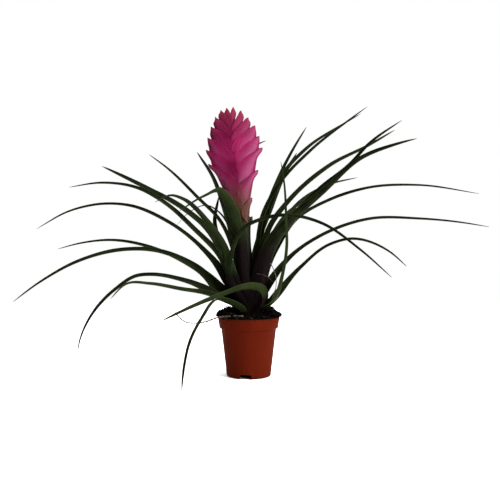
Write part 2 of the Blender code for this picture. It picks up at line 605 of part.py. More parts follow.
def build_bract(name, side, tip_share):
    """A boat-shaped bract: two faces that meet in a keel at the spike's edge."""
    tip_along = tip_share * SPIKE_LENGTH
    reach = min(BRACT_LENGTH, BRACT_LENGTH_SHARE * tip_along + BRACT_BASE_LENGTH)
    tip = Vector((spike_half_width(tip_share), tip_along))
    base_along = tip_along - reach
    clear = RACHIS_RADIUS + TOUCH_GAP
    keel_base = Vector((clear + KEEL_STAND_OFF, base_along))
    keel_middle = Vector((tip.x, base_along + 0.6 * reach))
    margin_base = Vector((clear + MARGIN_STAND_OFF, base_along + MARGIN_FOOT_RISE))
    margin_middle = Vector((-MARGIN_BEYOND, tip_along - 0.25 * reach))
    keel = bend_between(keel_base, keel_middle, tip, BRACT_STEPS)
    margin = bend_between(margin_base, margin_middle, tip, BRACT_STEPS)

    def face_height(place):
        far = min((place - point).length for point in keel)
        return BRACT_FOLD * far + KEEL_ROUND * (1.0 - math.exp(-far / KEEL_ROUND_REACH))

    def world(place, height):
        along = midline(place.y)
        return crown_point((along.x + side * place.x, along.y + height, along.z))

    rings = []
    for i in BRACT_STATIONS:
        across = margin[i] - keel[i]
        half_way = keel[i] + across * BRACT_MIDDLE
        rim_height = face_height(margin[i])
        thick = min(BRACT_THICKNESS, 0.45 * rim_height)
        inner_keel = keel[i] + across * min(KEEL_SOLID / across.length, 0.4)
        mid_height = face_height(half_way)
        mid_thick = min(thick, 0.6 * mid_height)
        outer = [(margin[i], rim_height), (half_way, mid_height), (keel[i], 0.0),
                 (half_way, -mid_height), (margin[i], -rim_height)]
        inner = [(margin[i], thick - rim_height), (half_way, mid_thick - mid_height),
                 (inner_keel, 0.0),
                 (half_way, mid_height - mid_thick), (margin[i], rim_height - thick)]
        rings.append([world(place, height) for place, height in outer + inner])
    finish_object(name, loft(rings, end_point=world(tip, 0.0)), material("bract_pink", BRACT_PINK))


def build_bud():
    """The closed tip of the spike, above the end of its axis."""
    start = RACHIS_LENGTH + TOUCH_GAP + BUD_CLEARANCE
    turns = [2 * math.pi * i / BUD_SIDES for i in range(BUD_SIDES)]
    rings = []
    for share, half_width, half_depth in BUD_RINGS:
        centre = midline(start + (SPIKE_LENGTH - start) * share)
        around = [Vector((half_width * math.cos(a), half_depth * math.sin(a), 0.0)) for a in turns]
        rings.append([crown_point(centre + offset) for offset in around])
    bm = loft(rings, end_point=crown_point(midline(SPIKE_LENGTH)))
    finish_object("spike_bud", bm, material("bract_pink", BRACT_PINK))


def build_spike():
    for i, share in enumerate(RIGHT_BRACT_TIPS):
        build_bract(f"bract_right_{i + 1:02d}", 1.0, share)
    for i, share in enumerate(LEFT_BRACT_TIPS):
        build_bract(f"bract_left_{i + 1:02d}", -1.0, share)
    build_bud()


def build_dry_strand():
    """A thin dead strand lying over the rim."""
    route = smooth_route([crown_point(point) for point in DRY_STRAND], 3)
    last = len(route) - 1
    radii = [DRY_STRAND_RADIUS * (1.0 - DRY_STRAND_THINNING * i / last) for i in range(len(route))]
    tube("dry_strand", route, radii, DRY_STRAND_SIDES, material("dry_tan", DRY_TAN))


def main():
    for thing in list(bpy.data.objects):
        bpy.data.objects.remove(thing, do_unlink=True)
    build_pot()
    build_soil()
    build_stem()
    build_scape()
    build_leaves()
    build_spike()
    build_dry_strand()


main()
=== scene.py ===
"""Potted pink-quill bromeliad: the finished look, built round the packed model.

World axes: X to the right, Y to the back, Z up, with the origin where the middle of the
pot meets the ground. Lengths are in metres, and the tables of the plant's own shapes are
in millimetres from the crown, which is the middle of the rosette at the soil.
"""

import math
import random

import bpy
from bpy.props import FloatProperty, FloatVectorProperty, IntProperty, PointerProperty
from mathutils import Matrix, Vector, noise


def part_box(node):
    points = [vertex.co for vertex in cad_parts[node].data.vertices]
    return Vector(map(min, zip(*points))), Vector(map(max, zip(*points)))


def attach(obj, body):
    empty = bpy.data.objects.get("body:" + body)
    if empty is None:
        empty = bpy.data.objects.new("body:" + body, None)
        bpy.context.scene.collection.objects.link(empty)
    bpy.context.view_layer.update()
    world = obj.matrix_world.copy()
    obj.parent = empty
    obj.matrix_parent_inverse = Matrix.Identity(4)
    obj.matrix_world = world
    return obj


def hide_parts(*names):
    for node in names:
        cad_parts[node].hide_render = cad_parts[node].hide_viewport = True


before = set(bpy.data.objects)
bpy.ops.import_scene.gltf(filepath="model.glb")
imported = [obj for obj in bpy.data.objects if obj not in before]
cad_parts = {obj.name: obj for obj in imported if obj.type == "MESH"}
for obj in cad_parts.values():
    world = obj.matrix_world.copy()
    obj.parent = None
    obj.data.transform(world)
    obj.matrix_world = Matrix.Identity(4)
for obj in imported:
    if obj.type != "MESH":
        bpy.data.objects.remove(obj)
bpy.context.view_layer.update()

bl_info = {
    "name": "Potted Bromeliad",
    "version": (1, 0, 0),
    "blender": (4, 5, 0),
    "location": "3D View > Sidebar > Bromeliad",
    "description": "Builds a flowering bromeliad in its nursery pot round the packed model",
    "category": "Add Mesh",
}

MM = 0.001
BODY = "root"
POT_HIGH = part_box("pot")[1]
CROWN_Z = POT_HIGH.z + 1.0 * MM          # the crown stands just above the rim

# Each leaf: sheath layer, sheath azimuth in degrees from +X, blade width, sheath width, the two
# distances between which it narrows, how many degrees its upper face leans to the front, how far
# up it is flushed purple, then its route. Layer 0 is against the stem.
LEAVES = {
    "leaf_left_01": (12, 190, 4, 13, 0, 105, 50, 32, ((-34, -11, 22), (-75, -24, 42), (-105, -34, 48),
                        (-120, -39, 47), (-142, -46, 33), (-162, -53, 12), (-177, -58, -19),
                        (-180, -59, -35))),
    "leaf_left_02": (13, 216, 4.6, 10, 0, 80, -50, 10, ((-34, -21, 22), (-73, -46, 33), (-103, -64, 40),
                        (-124, -78, 41), (-139, -87, 27))),
    "leaf_left_03": (11, 178, 5.6, 18, 0, 105, 50, 37, ((-30, 2, 22), (-61, 3, 54), (-95, 5, 70),
                        (-147, 8, 73), (-193, 10, 61), (-240, 13, 36), (-271, 14, 14))),
    "leaf_left_04": (10, 154, 4, 21, 0, 105, 50, 41, ((-33, 12, 27), (-51, 18, 45), (-72, 26, 57),
                        (-117, 43, 76), (-162, 59, 84), (-209, 76, 80), (-239, 87, 73))),
    "leaf_left_05": (9, 178, 4.6, 21, 0, 105, 50, 46, ((-30, 2, 46), (-55, 4, 77), (-95, 7, 107),
                        (-132, 9, 123), (-161, 11, 126), (-205, 14, 118), (-244, 17, 98))),
    "leaf_left_06": (8, 170, 5.6, 20, 0, 105, 50, 50, ((-33, 8, 66), (-62, 15, 96), (-97, 24, 127),
                        (-130, 32, 145), (-173, 43, 152), (-216, 54, 148))),
    "leaf_left_07": (7, 205, 6.3, 21, 0, 105, -50, 54, ((-21, -15, 50), (-29, -20, 80), (-47, -32, 107),
                        (-69, -46, 128), (-81, -54, 132), (-97, -65, 125))),
    "leaf_left_08": (6, 190, 7.4, 19, 0, 105, 50, 59, ((-19, -5, 52), (-30, -9, 69), (-51, -15, 101),
                        (-75, -22, 121), (-107, -31, 139), (-156, -45, 164))),
    "leaf_left_09": (4, 196, 2.3, 15, 0, 105, -50, 68, ((-10, -4, 52), (-23, -11, 102), (-32, -15, 115),
                        (-45, -21, 123), (-66, -31, 114), (-77, -36, 102))),
    "leaf_left_10": (5, 163, 4.4, 16, 0, 105, 50, 63, ((-19, 11, 76), (-33, 19, 106), (-60, 34, 134),
                        (-95, 55, 168), (-122, 71, 189))),
    "leaf_back_01": (9, 122, 5.2, 20, 0, 105, 50, 46, ((-31, 26, 73), (-40, 33, 108), (-35, 29, 136))),
    "leaf_back_02": (6, 112, 5.4, 18, 0, 105, 50, 59, ((-15, 24, 73), (-27, 43, 115), (-41, 66, 155),
                        (-66, 106, 196))),
    "leaf_back_03": (3, 92, 4.6, 15, 0, 105, 50, 72, ((-5, 18, 110), (-7, 28, 150), (-3, 48, 185),
                       (9, 67, 200), (21, 79, 207))),
    "leaf_back_04": (5, 68, 5.4, 16, 0, 105, 50, 63, ((9, 16, 75), (28, 48, 127), (47, 82, 171),
                        (61, 105, 195))),
    "leaf_back_05": (9, 67, 5.2, 20, 0, 105, 50, 46, ((22, 22, 78), (43, 43, 113), (69, 69, 134))),
    "leaf_back_06": (8, 88, 5.8, 20, 0, 105, 50, 50, ((-1, 22, 60), (-1, 50, 98), (2, 85, 113),
                        (4, 110, 106))),
    "leaf_back_07": (12, 100, 5.8, 21, 0, 105, 50, 32, ((-4, 26, 20), (-8, 52, 40), (-11, 82, 38),
                        (-13, 108, 20))),
    "leaf_right_01": (12, 355, 3.2, 13, 0, 105, 45, 18, ((27, -16, 19), (56, -32, 55), (86, -50, 81),
                        (106, -61, 87), (143, -83, 74), (158, -91, 60))),
    "leaf_right_02": (11, 12, 3.4, 14, 0, 105, 50, 42, ((22, -1, 33), (31, -1, 47), (48, -2, 67),
                        (91, -3, 95), (136, -5, 109), (191, -7, 109), (236, -8, 105), (268, -9, 100))),
    "leaf_right_03": (10, 314, 6, 21, 40, 190, -40, 84, ((11, -9, 28), (15, -12, 50), (27, -15, 82),
                        (53, -20, 113), (82, -30, 139), (120, -44, 173), (158, -57, 187),
                        (174, -63, 191))),
    "leaf_right_04": (9, 10, 3.8, 20, 0, 105, 50, 46, ((20, 2, 50), (35, 4, 80), (52, 6, 106),
                        (93, 10, 131), (139, 15, 145), (198, 21, 148), (268, 28, 139))),
    "leaf_right_05": (8, 28, 4.6, 20, 0, 105, 50, 50, ((15, 9, 52), (36, 23, 99), (60, 38, 129),
                        (92, 57, 149), (135, 84, 162))),
    "leaf_right_06": (7, 350, 6.2, 19, 0, 105, 50, 54, ((15, -3, 52), (46, -6, 106), (79, -11, 141),
                        (112, -16, 168), (133, -19, 191), (167, -23, 216))),
    "leaf_right_07": (5, 2, 6.2, 17, 0, 105, 50, 63, ((16, 1, 74), (26, 1, 102), (47, 2, 130),
                        (92, 5, 169), (138, 7, 193), (166, 9, 210))),
    "leaf_right_08": (3, 20, 5, 15, 0, 105, 50, 72, ((12, 6, 80), (25, 11, 125), (41, 20, 162),
                        (66, 32, 190), (116, 56, 225), (136, 67, 238))),
    "leaf_right_09": (2, 2, 5, 13, 0, 105, 50, 76, ((11, 1, 80), (16, 3, 111), (33, 7, 145),
                        (70, 15, 186), (117, 25, 224), (138, 29, 240))),
    "leaf_right_10": (4, 36, 4.6, 15, 0, 105, 50, 68, ((12, 9, 79), (19, 15, 114), (35, 27, 157),
                        (52, 41, 191), (69, 54, 220))),
    "leaf_front_01": (13, 252, 5.5, 8, 0, 70, 30, 6, ((-25, -26, 19), (-33, -35, 21), (-48, -55, 3),
                        (-59, -75, -18.2), (-65, -95, -50.7), (-66, -102, -65))),
    "leaf_front_02": (12, 305, 5.4, 9, 35, 82, 52, 34, ((16, -21, 13), (19, -26, 23), (17, -30, 31),
                        (5, -36, 35.5), (-6, -41, 34.5), (-20, -46, 30), (-46, -58, 21), (-89, -75, 3))),
    "leaf_front_03": (13, 326, 3.6, 9, 0, 80, -20, 8, ((29, -28, 20), (37, -40, 48), (41, -52, 81),
                        (40, -60, 102), (36, -72, 151), (33, -75, 166))),
    "leaf_front_04": (9, 250, 3.4, 12, 0, 105, -25, 56, ((-22, -20, 47), (-17, -26, 78), (-6, -35, 98),
                        (17, -47, 109), (38, -57, 112), (73, -74, 104), (111, -92, 77), (140, -106, 50))),
    "leaf_front_05": (5, 262, 5, 14.5, 118, 168, -10, 98, ((-6, -12, 41), (-12, -20, 95), (-20, -28, 122),
                        (-31, -38, 138), (-46, -50, 132), (-71, -70, 116))),
}

# The spike's midline starts here. Its bracts' tips stand at these shares of its length and of
# its half width, and the last tip on each side is half of the closed bud.
SPIKE_BASE = (-6.3, 0.0, 113.0)
RIGHT_BRACT_TIPS = ((0.165, 0.412), (0.42, 0.764), (0.626, 1.0), (0.731, 0.927), (0.828, 0.812),
                    (0.902, 0.594), (0.967, 0.364), (1.0, 0.1))
LEFT_BRACT_TIPS = ((0.264, 0.606), (0.476, 0.89), (0.606, 0.915), (0.717, 0.824), (0.819, 0.685),
                   (0.907, 0.52), (0.973, 0.327), (0.99, 0.13))
# A bract's free edge, from its tip: share of the tip's reach from the midline, share of its length.
RIGHT_MARGIN = ((1.0, 0.0), (0.9, 0.02), (0.66, 0.13), (0.38, 0.26), (0.08, 0.42), (-0.06, 0.6),
                (-0.08, 0.8), (0.04, 0.95))
LEFT_MARGIN = ((1.0, 0.0), (0.88, 0.04), (0.6, 0.1), (0.34, 0.21), (0.06, 0.35), (-0.08, 0.5),
               (-0.05, 0.75), (0.04, 0.95))
BUD_MARGIN = ((1.0, 0.0), (0.6, 0.04), (0.1, 0.13), (-0.3, 0.24), (-0.45, 0.4), (-0.3, 0.7), (0.04, 0.95))

# Dead thin leaves: radius, then the route.
DRY_STRANDS = {
    "dry_strand": (1.0, ((-6, -24, 2), (-20, -27, 2.4), (-33, -30, 1.4), (-47, -33, -3), (-58, -36, -4),
                         (-67, -38, -3), (-76, -40, 4), (-79, -41, 8))),
    "dry_curl": (0.45, ((24, -20, 60), (27, -22, 54), (30, -23, 44), (30, -24, 36), (28, -24, 28),
                        (25, -23, 20))),
    "dry_thread": (0.35, ((9, -22, 48.5), (15, -24, 47.5), (21, -24, 45), (26, -24, 40))),
}


# ------------------------------------------------------------------------ settings
class BromeliadPotSettings(bpy.types.PropertyGroup):
    """Sizes and colour of the nursery pot."""

    wall: FloatProperty(name="Wall", description="Thickness of the moulded wall",
                        default=1.2 * MM, min=0.0005, unit="LENGTH")
    collar_height: FloatProperty(name="Collar", description="Height of the band under the lip",
                                 default=13.0 * MM, unit="LENGTH")
    collar_step: FloatProperty(name="Collar step", description="How far the band stands proud of the wall",
                               default=2.0 * MM, unit="LENGTH")
    collar_draft: FloatProperty(name="Collar draft", description="How much the band opens out upwards",
                                default=1.8 * MM, unit="LENGTH")
    wall_taper: FloatProperty(name="Taper", description="How much the wall narrows down to the foot",
                              default=6.1 * MM, unit="LENGTH")
    foot_round: FloatProperty(name="Foot rounding", description="Radius of the rounded foot",
                              default=1.8 * MM, unit="LENGTH")
    foot_flat: FloatProperty(name="Foot ring", description="Width of the ring that the pot stands on",
                             default=2.9 * MM, unit="LENGTH")
    floor_lift: FloatProperty(name="Floor lift", description="Height of the floor's underside",
                              default=4.5 * MM, unit="LENGTH")
    segments: IntProperty(name="Segments", description="Flats round the pot", default=144, min=24)
    plastic: FloatVectorProperty(name="Plastic", description="Colour of the plastic",
                                 subtype="COLOR", default=(0.050, 0.0046, 0.0012), min=0.0, max=1.0)


class BromeliadSoilSettings(bpy.types.PropertyGroup):
    """Sizes of the loose peat."""

    heap: FloatProperty(name="Heap", description="Height of the peat round the crown",
                        default=7.5 * MM, unit="LENGTH")
    front_heap: FloatProperty(name="Front heap", description="The same at the front, nearly level",
                              default=0.6 * MM, unit="LENGTH")
    crumbs: IntProperty(name="Crumbs", description="Loose crumbs on the surface", default=560, min=0)
    crumb_size: FloatProperty(name="Crumb size", description="Radius of a middling crumb",
                              default=1.15 * MM, unit="LENGTH")
    fibres: IntProperty(name="Fibres", description="Loose fibres on the surface", default=46, min=0)


class BromeliadLeafSettings(bpy.types.PropertyGroup):
    """Sizes that all the leaves share."""

    thickness: FloatProperty(name="Thickness", description="Thickness of a leaf at its foot",
                             default=0.55 * MM, min=0.0002, unit="LENGTH")
    layer_gap: FloatProperty(name="Layer gap", description="Between one sheath and the next",
                             default=0.35 * MM, unit="LENGTH")


class BromeliadSpikeSettings(bpy.types.PropertyGroup):
    """Sizes of the flower spike."""

    length: FloatProperty(name="Length", description="Length of the flat spike",
                          default=122.0 * MM, unit="LENGTH")
    half_width: FloatProperty(name="Half width", description="From the midline to the widest tips",
                              default=33.0 * MM, unit="LENGTH")
    bract_length: FloatProperty(name="Bract length", description="Length of a full bract",
                                default=50.0 * MM, unit="LENGTH")
    bract_thickness: FloatProperty(name="Bract thickness", description="Thickness of a bract",
                                   default=0.45 * MM, unit="LENGTH")


class BromeliadStageSettings(bpy.types.PropertyGroup):
    """The floor, the lights and the camera."""

    camera_distance: FloatProperty(name="Camera distance", description="From the pot's axis",
                                   default=0.8, unit="LENGTH")
    camera_height: FloatProperty(name="Camera height", description="Above the floor",
                                 default=0.162, unit="LENGTH")
    camera_pitch: FloatProperty(name="Camera pitch", description="How far the camera looks down",
                                default=math.radians(1.43), subtype="ANGLE")
    lens: FloatProperty(name="Lens", description="Focal length in millimetres", default=51.05)
    key: FloatProperty(name="Key light", description="Power of the light at the front right",
                       default=78.0)
    top: FloatProperty(name="Top light", description="Power of the wide light overhead", default=94.0)


SETTINGS = {
    "bromeliad_pot": BromeliadPotSettings,
    "bromeliad_soil": BromeliadSoilSettings,
    "bromeliad_leaves": BromeliadLeafSettings,
    "bromeliad_spike": BromeliadSpikeSettings,
    "bromeliad_stage": BromeliadStageSettings,
}


# ------------------------------------------------------------------ shared modelling
def deselect_all():
    if bpy.context.object and bpy.context.object.mode != "OBJECT":
        bpy.ops.object.mode_set(mode="OBJECT")
    bpy.ops.object.select_all(action="DESELECT")


def take_added(name):
    """Name the object that was just added."""
    made = bpy.context.object
    made.name = name
    made.data.name = name
    return made


def make_active(thing):
    deselect_all()
    thing.select_set(True)
    bpy.context.view_layer.objects.active = thing


def apply_modifier(thing, kind, **settings):
    """Add a modifier, set it and apply it."""
    make_active(thing)
    modifier = thing.modifiers.new(kind.title(), kind)
    for name, value in settings.items():
        setattr(modifier, name, value)
    bpy.ops.object.modifier_apply(modifier=modifier.name)


def finish_piece(thing, slot, *nodes, angle=40.0):
    """Shade a piece, tie it to the frame and hide the nodes it stands for."""
    make_active(thing)
    bpy.ops.object.shade_smooth_by_angle(angle=math.radians(angle))
    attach(thing, BODY)
    if nodes:
        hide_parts(*nodes)
    thing.select_set(False)


def shaped_grid(name, across, along, place):
    """A flat grid whose points are put where place(across, row) says; across is -1 to 1."""
    deselect_all()
    bpy.ops.mesh.primitive_grid_add(x_subdivisions=across, y_subdivisions=along, size=2.0)
    made = take_added(name)
    for vertex in made.data.vertices:
        row = round((vertex.co.y + 1.0) / 2.0 * along)
        vertex.co = place(vertex.co.x, row)
    return made


def add_attribute(thing, name, values):
    """One number for each vertex, for a material to read."""
    made = thing.data.attributes.new(name, "FLOAT", "POINT")
    made.data.foreach_set("value", values)


def weight_group(thing, name, weights):
    group = thing.vertex_groups.new(name=name)
    for i, weight in enumerate(weights):
        group.add([i], weight, "REPLACE")


def tube_piece(name, route, radii, sides):
    """A closed round stalk along a route, as a curve turned into a mesh."""
    deselect_all()
    bpy.ops.curve.primitive_bezier_curve_add()
    made = take_added(name)
    curve = made.data
    curve.splines.clear()
    curve.dimensions = "3D"
    curve.bevel_depth = 1.0
    curve.bevel_resolution = max(sides // 4 - 1, 0)
    curve.use_fill_caps = True
    spline = curve.splines.new("POLY")
    spline.points.add(len(route) - 1)
    for point, place, radius in zip(spline.points, route, radii):
        point.co = (*place, 1.0)
        point.radius = radius
    bpy.ops.object.convert(target="MESH")
    made = bpy.context.object
    made.name = name
    merge_doubles(made)
    return made


def merge_doubles(thing, distance=0.00001):
    """Close seams and poles, then point every face outwards."""
    make_active(thing)
    bpy.ops.object.mode_set(mode="EDIT")
    bpy.ops.mesh.select_all(action="SELECT")
    bpy.ops.mesh.remove_doubles(threshold=distance)
    bpy.ops.mesh.normals_make_consistent(inside=False)
    bpy.ops.object.mode_set(mode="OBJECT")


def smooth_route(points, per_span=16):
    """A smooth curve through the points, as many short straight steps."""
    points = [Vector(point) for point in points]
    tangents = []
    for i, point in enumerate(points):
        before = points[max(i - 1, 0)]
        after = points[min(i + 1, len(points) - 1)]
        back, ahead = (point - before).length, (after - point).length
        if back == 0.0 or ahead == 0.0:
            tangents.append((after - before).normalized())
            continue
        slope = (point - before) / back * ahead + (after - point) / ahead * back
        tangents.append(slope / (back + ahead))
    route = [points[0]]
    for i in range(len(points) - 1):
        start, end = points[i], points[i + 1]
        reach = (end - start).length
        for step in range(1, per_span + 1):
            t = step / per_span
            route.append(start * (2 * t**3 - 3 * t**2 + 1) + end * (3 * t**2 - 2 * t**3)
                         + tangents[i] * reach * (t**3 - 2 * t**2 + t)
                         + tangents[i + 1] * reach * (t**3 - t**2))
    return route


def route_length(route):
    return sum((end - start).length for start, end in zip(route, route[1:]))


def at_distances(route, distances):
    """The points of a route at the given distances along it."""
    found = []
    travelled = 0.0
    wanted = list(distances)
    for start, end in zip(route, route[1:]):
        step = (end - start).length
        while wanted and wanted[0] <= travelled + step + 1e-9:
            share = (wanted.pop(0) - travelled) / step if step else 0.0
            found.append(start.lerp(end, min(max(share, 0.0), 1.0)))
        travelled += step
    found.extend(route[-1].copy() for _ in wanted)
    return found


def ease(share):
    """0 to 1 with a gentle start and end."""
    share = min(max(share, 0.0), 1.0)
    return share * share * (3.0 - 2.0 * share)


def frames_along(points, first_up):
    """Side and upper face at each point, without twist."""
    frames = []
    up = first_up.normalized()
    for i in range(len(points)):
        ahead = (points[min(i + 1, len(points) - 1)] - points[max(i - 1, 0)]).normalized()
        up = (up - ahead * up.dot(ahead)).normalized()
        frames.append((ahead.cross(up), up))
    return frames


def crown_point(point):
    """A plant point, in millimetres above the crown, in the world."""
    return Vector((point[0] * MM, point[1] * MM, CROWN_Z + point[2] * MM))


# ------------------------------------------------------------------------ materials
def linear(hex_colour):
    """An sRGB hex colour as linear red, green, blue and alpha."""
    channels = [int(hex_colour[i:i + 2], 16) / 255.0 for i in (1, 3, 5)]
    return (*[c / 12.92 if c <= 0.04045 else ((c + 0.055) / 1.055) ** 2.4 for c in channels], 1.0)


def add_node(tree, kind, inputs=None, stops=None, **settings):
    """Add a node with its settings, its ramp colours (the two end ones first) and what goes into
    its sockets."""
    made = tree.nodes.new(kind)
    for name, value in settings.items():
        setattr(made, name, value)
    for i, (place, colour) in enumerate(stops or ()):
        element = made.color_ramp.elements[i] if i < 2 else made.color_ramp.elements.new(place)
        element.position = place
        element.color = linear(colour) if isinstance(colour, str) else (colour, colour, colour, 1.0)
    for name, value in (inputs or {}).items():
        if isinstance(value, bpy.types.NodeSocket):
            tree.links.new(value, made.inputs[name])
        else:
            made.inputs[name].default_value = value
    return made


def new_material(name):
    """A material with nothing but its output."""
    made = bpy.data.materials.new(name)
    made.use_nodes = True
    made.node_tree.nodes.clear()
    return made, made.node_tree


def end_material(tree, surface):
    add_node(tree, "ShaderNodeOutputMaterial", {"Surface": surface.outputs[0]})


def moulded_polypropylene(settings):
    """Injection-moulded polypropylene: a soft sheen from the fine skin of the mould, faint
    vertical flow marks, and peat dust that clings under the rim and round the foot."""
    made, tree = new_material("moulded_polypropylene")
    place = add_node(tree, "ShaderNodeTexCoord").outputs["Object"]
    parts = add_node(tree, "ShaderNodeSeparateXYZ", {"Vector": place})
    # Flow marks are about 6 mm apart round the pot and run most of its height.
    stretched = add_node(tree, "ShaderNodeMapping", {"Vector": place, "Scale": (160.0, 160.0, 14.0)})
    flow = add_node(tree, "ShaderNodeTexNoise", {"Vector": stretched.outputs[0], "Scale": 1.0, "Detail": 2.0})
    blotch = add_node(tree, "ShaderNodeTexNoise", {"Vector": place, "Scale": 70.0, "Detail": 3.0})
    tint = add_node(tree, "ShaderNodeMix", {0: flow.outputs[0], 6: (*[c * 0.80 for c in settings.plastic], 1.0),
                                            7: (*[min(c * 1.18, 1.0) for c in settings.plastic], 1.0)},
                    data_type="RGBA")
    # Peat dust lies in specks of a millimetre or two.
    speck = add_node(tree, "ShaderNodeTexNoise", {"Vector": place, "Scale": 620.0, "Detail": 4.0,
                                                  "Roughness": 0.65})
    high = add_node(tree, "ShaderNodeMapRange", {"Value": parts.outputs[2], 1: POT_HIGH.z - 5 * MM,
                                                 2: POT_HIGH.z, 3: 0.0, 4: 0.34})
    low = add_node(tree, "ShaderNodeMapRange", {"Value": parts.outputs[2], 1: 9 * MM, 2: 0.0, 3: 0.0, 4: 0.20})
    where = add_node(tree, "ShaderNodeMath", {0: high.outputs[0], 1: low.outputs[0]}, operation="MAXIMUM")
    cover = add_node(tree, "ShaderNodeMath", {0: speck.outputs[0], 1: where.outputs[0]}, operation="ADD")
    dust = add_node(tree, "ShaderNodeMapRange", {"Value": cover.outputs[0], 1: 0.72, 2: 0.86, 3: 0.0, 4: 0.75})
    colour = add_node(tree, "ShaderNodeMix", {0: dust.outputs[0], 6: tint.outputs[2], 7: linear("#150C08")},
                      data_type="RGBA")
    rough = add_node(tree, "ShaderNodeMapRange", {"Value": blotch.outputs[0], 1: 0.3, 2: 0.7, 3: 0.52, 4: 0.66})
    dull = add_node(tree, "ShaderNodeMath", {0: rough.outputs[0], 1: dust.outputs[0]}, operation="MAXIMUM")
    # The mould's skin has a grain of about 0.8 mm.
    grain = add_node(tree, "ShaderNodeTexNoise", {"Vector": place, "Scale": 1200.0, "Detail": 2.0})
    relief = add_node(tree, "ShaderNodeBump",
                      {"Height": grain.outputs[0], "Strength": 0.12, "Distance": 0.1 * MM})
    wavy = add_node(tree, "ShaderNodeBump", {"Height": flow.outputs[0], "Strength": 0.25, "Distance": 0.25 * MM,
                                             "Normal": relief.outputs[0]})
    surface = add_node(tree, "ShaderNodeBsdfPrincipled",
                       {"Base Color": colour.outputs[2], "Roughness": dull.outputs[0], "IOR": 1.49,
                        "Specular IOR Level": 0.008, "Normal": wavy.outputs[0]})
    end_material(tree, surface)
    return made


def damp_peat(name, dark, light, grain_scale):
    """Damp black peat: crumbs of part-rotted moss with brown fibres in them, dull all over."""
    made, tree = new_material(name)
    place = add_node(tree, "ShaderNodeTexCoord").outputs["Object"]
    # Crumbs of about 1.5 mm, with fibres five times as long as they are wide.
    grain = add_node(tree, "ShaderNodeTexNoise", {"Vector": place, "Scale": grain_scale, "Detail": 6.0,
                                                  "Roughness": 0.7})
    along = add_node(tree, "ShaderNodeMapping", {"Vector": place, "Rotation": (0.4, 0.9, 0.3),
                                                 "Scale": (900.0, 180.0, 900.0)})
    fibre = add_node(tree, "ShaderNodeTexNoise", {"Vector": along.outputs[0], "Scale": 1.0, "Detail": 3.0})
    both = add_node(tree, "ShaderNodeMath", {0: grain.outputs[0], 1: fibre.outputs[0]}, operation="MULTIPLY")
    colour = add_node(tree, "ShaderNodeValToRGB", {"Fac": both.outputs[0]},
                      stops=((0.14, dark), (0.34, light), (0.27, dark)))
    relief = add_node(tree, "ShaderNodeBump",
                      {"Height": grain.outputs[0], "Strength": 0.9, "Distance": 0.5 * MM})
    surface = add_node(tree, "ShaderNodeBsdfPrincipled",
                       {"Base Color": colour.outputs[0], "Roughness": 0.95, "IOR": 1.35,
                        "Specular IOR Level": 0.05, "Normal": relief.outputs[0]})
    end_material(tree, surface)
    return made


